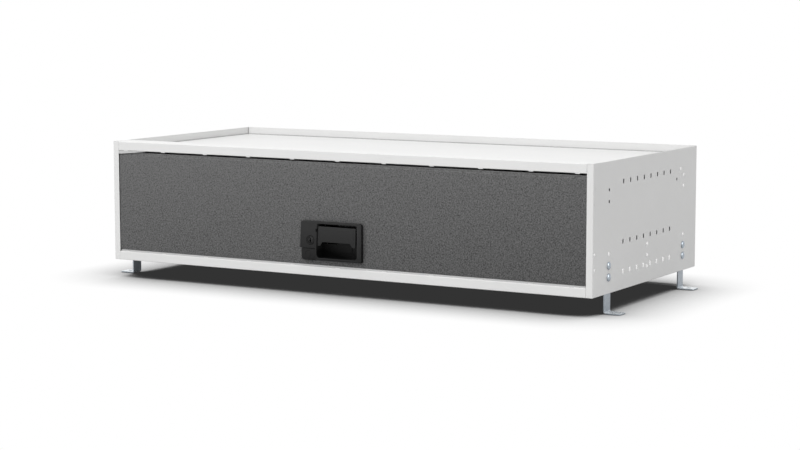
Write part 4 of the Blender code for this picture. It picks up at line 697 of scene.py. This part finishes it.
def cage_and_balls(label, word, side, web, row):
    """A thin sheet cage with a row of bearing balls above and below."""
    body = f"{label}_cage_{word}"
    edge = SLIDE_MOUTH - 2.5
    begin, end = 159, 409
    line = [(x, z + SLIDE_AXIS) for x, z in ((edge, -row), (web, -row), (web, row), (edge, row))]
    cage = piece(f"cage_sheet_{label}_{word}", to_side(folded(line, 1, begin, end, 1.3), side), body, "zinc",
                 "zinc", [f"ball_cage_{label}_{word}"], 1, edge=0)
    windows = bmesh.new()
    for number in range(5):
        depth = begin + 25 + 50 * number
        rounded_block(windows, (web - 2, depth - 16, SLIDE_AXIS - 12), (web + 2, depth + 16, SLIDE_AXIS + 12), 0, 5)
    carve(cage, to_side(windows, side))
    balls = bmesh.new()
    for number in range(16):
        for level in (-row, row):
            place = Vector((edge - 4, begin + 8 + 15.6 * number, SLIDE_AXIS + level))
            bmesh.ops.create_icosphere(balls, subdivisions=2, radius=2, matrix=Matrix.Translation(place))
    piece(f"bearing_balls_{label}_{word}", to_side(balls, side), body, "ball_steel", "zinc", [], edge=0)


def latch_opening(start, end):
    """Room for the latch's bucket and for the lock."""
    shape = block(bmesh.new(), (LATCH - 55.9, start, 39.5), (LATCH + 55.9, end, 121.7))
    return disc(shape, 1, (LOCK[0], (start + end) / 2, LOCK[1]), 19.2, end - start, 40)


def drawer_fronts():
    """The grained front and the steel front behind it."""
    reach = WIDTH / 2 - 15.9
    front, back, top = 2, 18, 256.4
    shape = block(bmesh.new(), (-reach, front, 25.1), (reach, back, top))
    front_edges = [e for e in shape.edges if max(v.co.y for v in e.verts) < front + 1]
    round_off(shape, [e for e in front_edges if min(v.co.z for v in e.verts) < top - 6.4], 0.9, 3)
    # the top face of the front gets painted light in a lighter grey
    panel = piece("grained_front", shape, "drawer", "grained_laminate", "grained_grey", ["drawer_front"], edge=0.4,
                  lining=("painted_gap_light", (-640, 3, top - 0.4), (640, 19, top + 0.6)))
    carve(panel, latch_opening(front - PAST, back + PAST))
    bevelled = ((-PAST, 249.5), (front, 249.5), (3.2, 251.5), (3.8, 258), (-PAST, 258))
    carve(panel, drawn_out(bevelled, 0, -640, 640))
    half = SHEET / 2
    low, high = BOX_LOW + half, BOX_HIGH - half
    line = ((30.3, low), (BOX_FRONT + half, low), (BOX_FRONT + half, high), (30.3, high))
    sheet = coated_sheet("box_front_sheet", folded(line, 0, -BOX_REACH, BOX_REACH), "drawer", "drawer_inner_front")
    carve(sheet, latch_opening(BOX_FRONT - PAST, BOX_FRONT + SHEET + PAST))


def drawer_box():
    """The sides, back and floor of the drawer."""
    half, flange = SHEET / 2, 12
    low, high = BOX_LOW + half, BOX_HIGH - half
    web, edge = BOX_REAR - half, BOX_REAR - flange
    line = ((edge, low), (web, low), (web, high), (edge, high))
    coated_sheet("box_back_sheet", folded(line, 0, -BOX_REACH, BOX_REACH), "drawer", "drawer_back")
    inner = BOX_REACH - 1
    shape = block(bmesh.new(), (-inner, 21.1, 33.8), (inner, 537.2, 33.8 + SHEET))
    floor = piece("box_floor_sheet", shape, "drawer", "white_coat", "white_coat", ["drawer_floor"])
    carve(floor, block(bmesh.new(), (LATCH - 11, 18, 31), (LATCH + 11, 62.2, 38)))
    for word, side in SIDES.items():
        web, edge = BOX_INSET + half, BOX_INSET + flange
        line = ((edge, low), (web, low), (web, high), (edge, high))
        sheet = coated_sheet(f"box_side_sheet_{word}", to_side(folded(line, 1, BOX_FRONT, BOX_REAR), side), "drawer",
                             f"drawer_side_{word}")
        trims = bmesh.new()
        for start, end in ((BOX_FRONT - PAST, BOX_FRONT + 12.3), (BOX_REAR - 12.3, BOX_REAR + PAST)):
            for under, over in ((BOX_LOW - PAST, BOX_LOW + 2.5), (BOX_HIGH - 2.5, BOX_HIGH + PAST)):
                block(trims, (BOX_INSET + SHEET, start, under), (edge + PAST, end, over))
        for depth in SCREWS.values():
            disc(trims, 0, (web, depth, SLIDE_AXIS), 5.3, 6, 24)
        carve(sheet, to_side(trims, side))
        for end in SCREWS:
            pan_screw(word, side, end)


def pan_screw(word, side, end):
    """A screw that holds the slide to the drawer's side, with a cross in its head."""
    depth, seat = SCREWS[end], inset(side, BOX_INSET + SHEET + SEAT)
    outline = [(0, 2.2), (3.2, 2.2), (4.1, 1.8), (4.5, 1), (4.5, 0), (2.25, 0), *thread(2.25, -0.1, -6, 0.8, 0.25)]
    screw = piece(f"pan_screw_{end}_{word}", spun(outline, (seat, depth, SLIDE_AXIS), 0, -side, 32), "drawer",
                  "zinc", "zinc", [f"drawer_screw_{end}_{word}"], edge=0)
    for wide, high in ((0.5, 2.3), (2.3, 0.5)):
        carve(screw, block(bmesh.new(), (seat - side * 0.9, depth - wide, SLIDE_AXIS - high),
                           (seat - side * 3, depth + wide, SLIDE_AXIS + high)))


def latch_bezel():
    """The black bezel with its pad, lower block, finger recess and the ribs above the paddle."""
    outline = ((-94.1, 124), (64.5, 124), (64.5, 35.5), (-93.6, 35.5), (-94.5, 63), (-96.4, 63))
    pad_foot, split = 63, LATCH - 56.4
    shape = drawn_out(about_latch(outline), 1, FACE, 1.7)
    round_off(shape, [e for e in along(shape, 1) if abs(e.verts[0].co.z - pad_foot) > 1], 6, 7)
    round_off(shape, [e for e in along(shape, 1) if abs(e.verts[0].co.z - pad_foot) < 1], 0.9, 3)
    round_off(shape, [e for e in shape.edges if max(v.co.y for v in e.verts) < FACE + 0.1], 0.8, 4)
    # the recess faces get painted shade
    bezel = piece("latch_bezel", shape, "drawer", "bezel_black", "black_plastic", ["latch_housing"], edge=0.3,
                  lining=("painted_recess_shade", (LATCH - 56, FACE + 1.5, 39), (LATCH + 56, 30, 122)))
    slope = ((FACE - PAST, 38.8), (FACE, 38.8), (FACE + 0.9, 37.4), (1, 35), (1, 33), (FACE - PAST, 33))
    carve(bezel, drawn_out(slope, 0, split, LATCH + 70))
    carve(bezel, block(bmesh.new(), (LATCH - 99, FACE - PAST, 33), (split, FACE + 3, pad_foot)))
    carve(bezel, block(bmesh.new(), (LATCH - 99, FACE - PAST, 61.6), (split - 0.1, FACE + 5, 63.1)))
    carve(bezel, block(bmesh.new(), (LATCH - 55.5, 0.5, 39.9), (LATCH + 55.5, 20.5, 121.3)), "UNION")
    outline = ((-50.9, 119.3), (-53.2, 80), (-52.8, 41.9), (53.2, 41.9), (53.2, 119.3))
    recess = drawn_out(about_latch(outline), 1, FACE - PAST, 18.5)
    round_off(recess, [e for e in along(recess, 1) if e.verts[0].co.z < 60], 9, 8)
    round_off(recess, [e for e in along(recess, 1) if e.verts[0].co.z > 110], 2.5, 5)
    carve(bezel, recess)
    carve(bezel, block(bmesh.new(), (LATCH - 52.9, 16.5, 72), (LATCH + 52.9, 24.5, 116.8)))
    carve(bezel, block(bmesh.new(), (LATCH - 8, 16.5, 55), (LATCH + 8, 24.5, 74)))
    lock_bore, lock_groove = 18.8, 21.4
    carve(bezel, disc(bmesh.new(), 1, (LOCK[0], -2.5, LOCK[1]), lock_bore, 14, 40))
    carve(bezel, disc(bmesh.new(), 1, (LOCK[0], FACE, LOCK[1]), lock_groove, 8, 40))
    notch = (LATCH - 55.1, FACE - PAST, 100.5), (LATCH - 50, FACE + 7.5, 107.5)
    carve(bezel, rounded_block(bmesh.new(), *notch, 1, 0.8))
    ring = [(6.9, -0.9), (6.9, 0.9), (8.1, 0.9), (8.1, -0.9), (6.9, -0.9)]
    carve(bezel, spun(ring, (LATCH - 76.6, FACE + 3, 48.5), 1, 1, 40))
    ribs = bmesh.new()
    for number in range(6):
        x = LATCH + 8 + 8.4 * number
        block(ribs, (x - 1.2, FACE + 0.9, 116.4), (x + 1.2, 12, 120))
    carve(bezel, ribs, "UNION")


def paddle_flap():
    """The pulled flap: legs at both ends, a shallow raised field, ears on the pin, and arms to the pawl with the
    cover that hides them."""
    face, back = FACE + 1.5, FACE + 4.5
    outline = ((-48.7, 113.2), (-50.7, 69), (-44.1, 69), (-38.1, 78), (34.3, 78), (40.5, 69), (48.5, 69),
               (49.4, 113.2))
    shape = drawn_out(about_latch(outline), 1, face, back, 1.4, 4)
    round_off(shape, [e for e in shape.edges if max(v.co.y for v in e.verts) < face + 0.1], 0.7, 3)
    # the faces behind the paddle's face get painted shade
    flap = piece("paddle_flap", shape, "paddle", "bezel_black", "black_plastic", ["paddle"], edge=0.2,
                 lining=("painted_recess_shade", (LATCH - 40, 2, 50), (LATCH + 40, 60, 104)))
    field = (LATCH - 46.5, face - 0.25, 80.5), (LATCH + 43.8, face + 1, 110.3)
    carve(flap, rounded_block(bmesh.new(), *field, 1, 1.5, 4), "UNION")
    for end in (-1, 1):
        outer = LATCH + end * 47.5
        ear = rounded_block(bmesh.new(), (outer, back - 1.5, 104), (outer - end * 4, 5, 112), 0, 2.6, 6)
        carve(flap, ear, "UNION")
        middle = LATCH + end * 5.2
        arm = drawn_out(((-3.7, 100), (-3.7, 86), (34, 76.5), (37, 76.5), (37, 83)), 0, middle - 1.25, middle + 1.25)
        carve(flap, arm, "UNION")
    carve(flap, disc(bmesh.new(), 0, (LATCH, 34, 80), 3.2, 10.4, 24), "UNION")
    cover = ((17.2, 90), (17.2, 54), (18.2, 54), (18.2, 90))
    carve(flap, drawn_out(cover, 0, LATCH - 10.5, LATCH + 26, 0.3, 3), "UNION")
    carve(flap, disc(bmesh.new(), 0, (LATCH, *PIN), 3.8, 107, 24))


def latch_works():
    """The pins, pawl, bracket and strike plate."""
    pin = disc(bmesh.new(), 0, (LATCH, *PIN), 3, 109.8, 24)
    piece("paddle_pivot", pin, "drawer", "dark_zinc", "zinc", ["paddle_pin"], edge=0.3)
    pin = disc(bmesh.new(), 0, (LATCH, *PAWL_PIN), 4, 22, 28)
    piece("pawl_pivot", pin, "drawer", "zinc", "zinc", ["pawl_pin"], edge=0.4)
    hook = 13.3
    outline = ((-2, 33), (2, 33), (2, 5), (5, 2), (19, -5), (19, -19), (15, -26), (hook, -26), (hook, -13), (2, -5),
               (-2, -5), (-5, -2), (-5, 2), (-2, 5))
    outline = [(PAWL_PIN[0] + y, PAWL_PIN[1] + z) for y, z in outline]
    pawl = piece("pawl_plate", drawn_out(outline, 0, LATCH - 2.5, LATCH + 2.5, 0.8, 3), "latch_pawl", "dark_zinc",
                 "zinc", ["latch_pawl"], edge=0.3)
    carve(pawl, disc(bmesh.new(), 0, (LATCH, *PAWL_PIN), 4.8, 8, 28))
    shape = rounded_block(bmesh.new(), (LATCH - 11, 20.8, 40), (LATCH + 11, 22.8, 52), 1, 0.8, 3)
    bracket = piece("pawl_cheeks", shape, "drawer", "dark_zinc", "zinc", ["pawl_bracket"], edge=0.25)
    for end in (-1, 1):
        outer = LATCH + end * 11
        cheek = rounded_block(bmesh.new(), (outer, 20.8, 40), (outer - end * 2, 38, 58), 0, 3, 5)
        carve(bracket, cheek, "UNION")
    carve(bracket, disc(bmesh.new(), 0, (LATCH, *PAWL_PIN), 4.8, 30, 28))
    lip = PAWL_PIN[0] + hook - 1.8 - SHEET / 2
    line = ((18, 21.35), (lip, 21.35), (lip, 29))
    piece("strike_sheet", folded(line, 0, LATCH - 20, LATCH + 20), "carcass", "zinc", "zinc", ["strike_plate"], SHEET)


def coil(name, start, diameter, wire, turns, node_name):
    """A spring wound about an x axis."""
    curve = bpy.data.curves.new(name, "CURVE")
    curve.dimensions = "3D"
    curve.bevel_depth = wire / 2
    curve.bevel_resolution = 3
    curve.use_fill_caps = True
    steps, pitch = 20, 1.2
    line = curve.splines.new("POLY")
    line.points.add(turns * steps)
    for number, point in enumerate(line.points):
        angle = 2 * math.pi * number / steps
        place = Vector((pitch * number / steps, diameter / 2 * math.sin(angle), diameter / 2 * math.cos(angle)))
        point.co = (*(Vector(start) + place), 1)
    wound = placed(name, curve)
    bpy.context.view_layer.update()
    graph = bpy.context.evaluated_depsgraph_get()
    mesh = bpy.data.meshes.new_from_object(wound.evaluated_get(graph))
    shape = bmesh.new()
    shape.from_mesh(mesh)
    bpy.data.objects.remove(wound)
    bpy.data.meshes.remove(mesh)
    piece(name, shape, "drawer", "spring_wire", "spring_steel", [node_name], edge=0)


def lock():
    """The lock's ring and sleeve, and the plug with its key slit and cam."""
    x, z = LOCK
    bore, rear = 7.05, 30.3
    sleeve = [(bore, 0.9), (7.4, 0.35), (8.7, 0.35), (9.2, 0.9), (9.2, 2.5), (9, 3), (9, rear), (bore, rear),
              (bore, 0.9)]
    piece("lock_ring", spun(sleeve, (x, FACE, z), 1, 1, 48), "drawer", "lock_black", "black_plastic",
          ["lock_cylinder"], edge=0.1)
    barrel = [(0, 0.45), (4.5, 0.55), (6, 0.9), (6.75, 1.6), (6.75, 30.6), (0, 30.6)]
    plug = piece("lock_barrel", spun(barrel, (x, FACE, z), 1, 1, 48), "lock_plug", "lock_black", "black_plastic",
                 ["lock_plug"], edge=0.1)
    cam = rounded_block(bmesh.new(), (x - 5, 23.9, z - 22), (x + 5, 25.9, z + 4), 1, 3, 5)
    carve(plug, cam, "UNION")
    front, deep = FACE - PAST, FACE + 12
    carve(plug, rounded_block(bmesh.new(), (x - 1.2, front, z - 5.2), (x + 1.2, deep, z + 5.2), 1, 0.8, 3))
    carve(plug, rounded_block(bmesh.new(), (x - 2.3, front, z - 3.9), (x + 1.9, deep, z + 0.6), 1, 0.8, 3))


for word, side in SIDES.items():
    side_sheet(word, side)
    hole_plugs(word, side)
    slide_set(word, side)
    for end in FEET:
        foot_strap(word, side, end)
        for level in BOLTS:
            cup_bolt(word, side, end, level)
front_rails()
tray_sheet()
painted_groove_strip()
rear_sheet()
drawer_fronts()
drawer_box()
latch_bezel()
paddle_flap()
latch_works()
coil("paddle_coil", (LATCH - 32, *PIN), 4.6, 0.8, 5, "paddle_spring")
coil("pawl_coil", (LATCH + 3.5, *PAWL_PIN), 6.4, 1, 4, "pawl_spring")
lock()
settle()


def seen_directly(tree):
    """1 for what the camera, a reflection or a clear part shows, and 0 for light that is passed on."""
    path = node(tree, "LightPath")
    camera, glossy, clear = (path.outputs[f"Is {kind} Ray"] for kind in ("Camera", "Glossy", "Transmission"))
    return joined(tree, "Math", "MAXIMUM", joined(tree, "Math", "MAXIMUM", camera, glossy), clear)


def show(tree, lit, seen, output):
    """Lights the scene with one shader and shows another."""
    mix = node(tree, "MixShader")
    tree.links.new(seen_directly(tree), mix.inputs["Fac"])
    tree.links.new(lit, mix.inputs[1])
    tree.links.new(seen, mix.inputs[2])
    tree.links.new(mix.outputs["Shader"], tree.nodes[output].inputs["Surface"])


def studio_floor():
    """A white floor that keeps the cabinet's shadow: darkest under it, fading out around it."""
    tree, shader = blank("studio_floor")
    shape = bmesh.new()
    bmesh.ops.create_grid(shape, x_segments=1, y_segments=1, size=40)
    mesh = bpy.data.meshes.new("studio_floor")
    shape.to_mesh(mesh)
    shape.free()
    mesh.materials.append(FINISHES["studio_floor"])
    floor = placed("studio_floor", mesh)
    floor.location.z = -0.0004
    shader.inputs["Base Color"].default_value = (0.66, 0.66, 0.66, 1)
    shader.inputs["Roughness"].default_value = 1
    shader.inputs["Specular IOR Level"].default_value = 0
    open_sky = node(tree, "AmbientOcclusion", samples=16, Distance=0.18)
    shade = node(tree, "ValToRGB", Fac=open_sky.outputs["AO"])
    stops = shade.color_ramp.elements
    for stop, (place, tone) in zip(stops, (FLOOR_TONES[0], FLOOR_TONES[-1])):
        stop.position, stop.color = place, (tone, tone, tone, 1)
    for place, tone in FLOOR_TONES[1:-1]:
        stops.new(place).color = (tone, tone, tone, 1)
    white = node(tree, "Emission", Color=shade.outputs["Color"], Strength=1.0)
    show(tree, shader.outputs["BSDF"], white.outputs["Emission"], "Material Output")


def lamp(name, place, power, size):
    """A square lamp that faces the cabinet's middle."""
    light = bpy.data.lights.new(name, "AREA")
    light.energy = power
    light.size = size
    hung = placed(name, light)
    hung.location = place
    hung.rotation_euler = Vector(place).to_track_quat("Z", "Y").to_euler()
    return hung


def studio_light():
    """An even sky, one broad soft lamp from above and in front, and a white card that only shows in bright metal."""
    world = bpy.data.worlds.new("studio")
    bpy.context.scene.world = world
    world.use_nodes = True
    tree = world.node_tree
    sky = tree.nodes["Background"]
    sky.inputs["Color"].default_value = (1, 1, 1, 1)
    sky.inputs["Strength"].default_value = 0.58
    white = node(tree, "Background", Color=(1, 1, 1, 1), Strength=1.0)
    show(tree, sky.outputs["Background"], white.outputs["Background"], "World Output")
    lamp("soft_key", (-0.2, -2.4, 3.8), 132, 4)
    card = lamp("side_card", (3.3, 0, 1.33), 45, 2.2)
    card.visible_diffuse = False
    card.visible_camera = False


def photo_camera():
    """The photograph's viewpoint."""
    lens = bpy.data.cameras.new("photo_camera")
    lens.sensor_width = 36
    lens.lens = 91.63
    camera = placed("photo_camera", lens)
    camera.location = (2.37865, -4.12219, 0.69081)
    camera.rotation_euler = Euler((math.radians(83.3), 0, math.radians(29.9986)))
    bpy.context.scene.camera = camera


studio_floor()
studio_light()
photo_camera()
bpy.context.scene.view_settings.view_transform = "Standard"
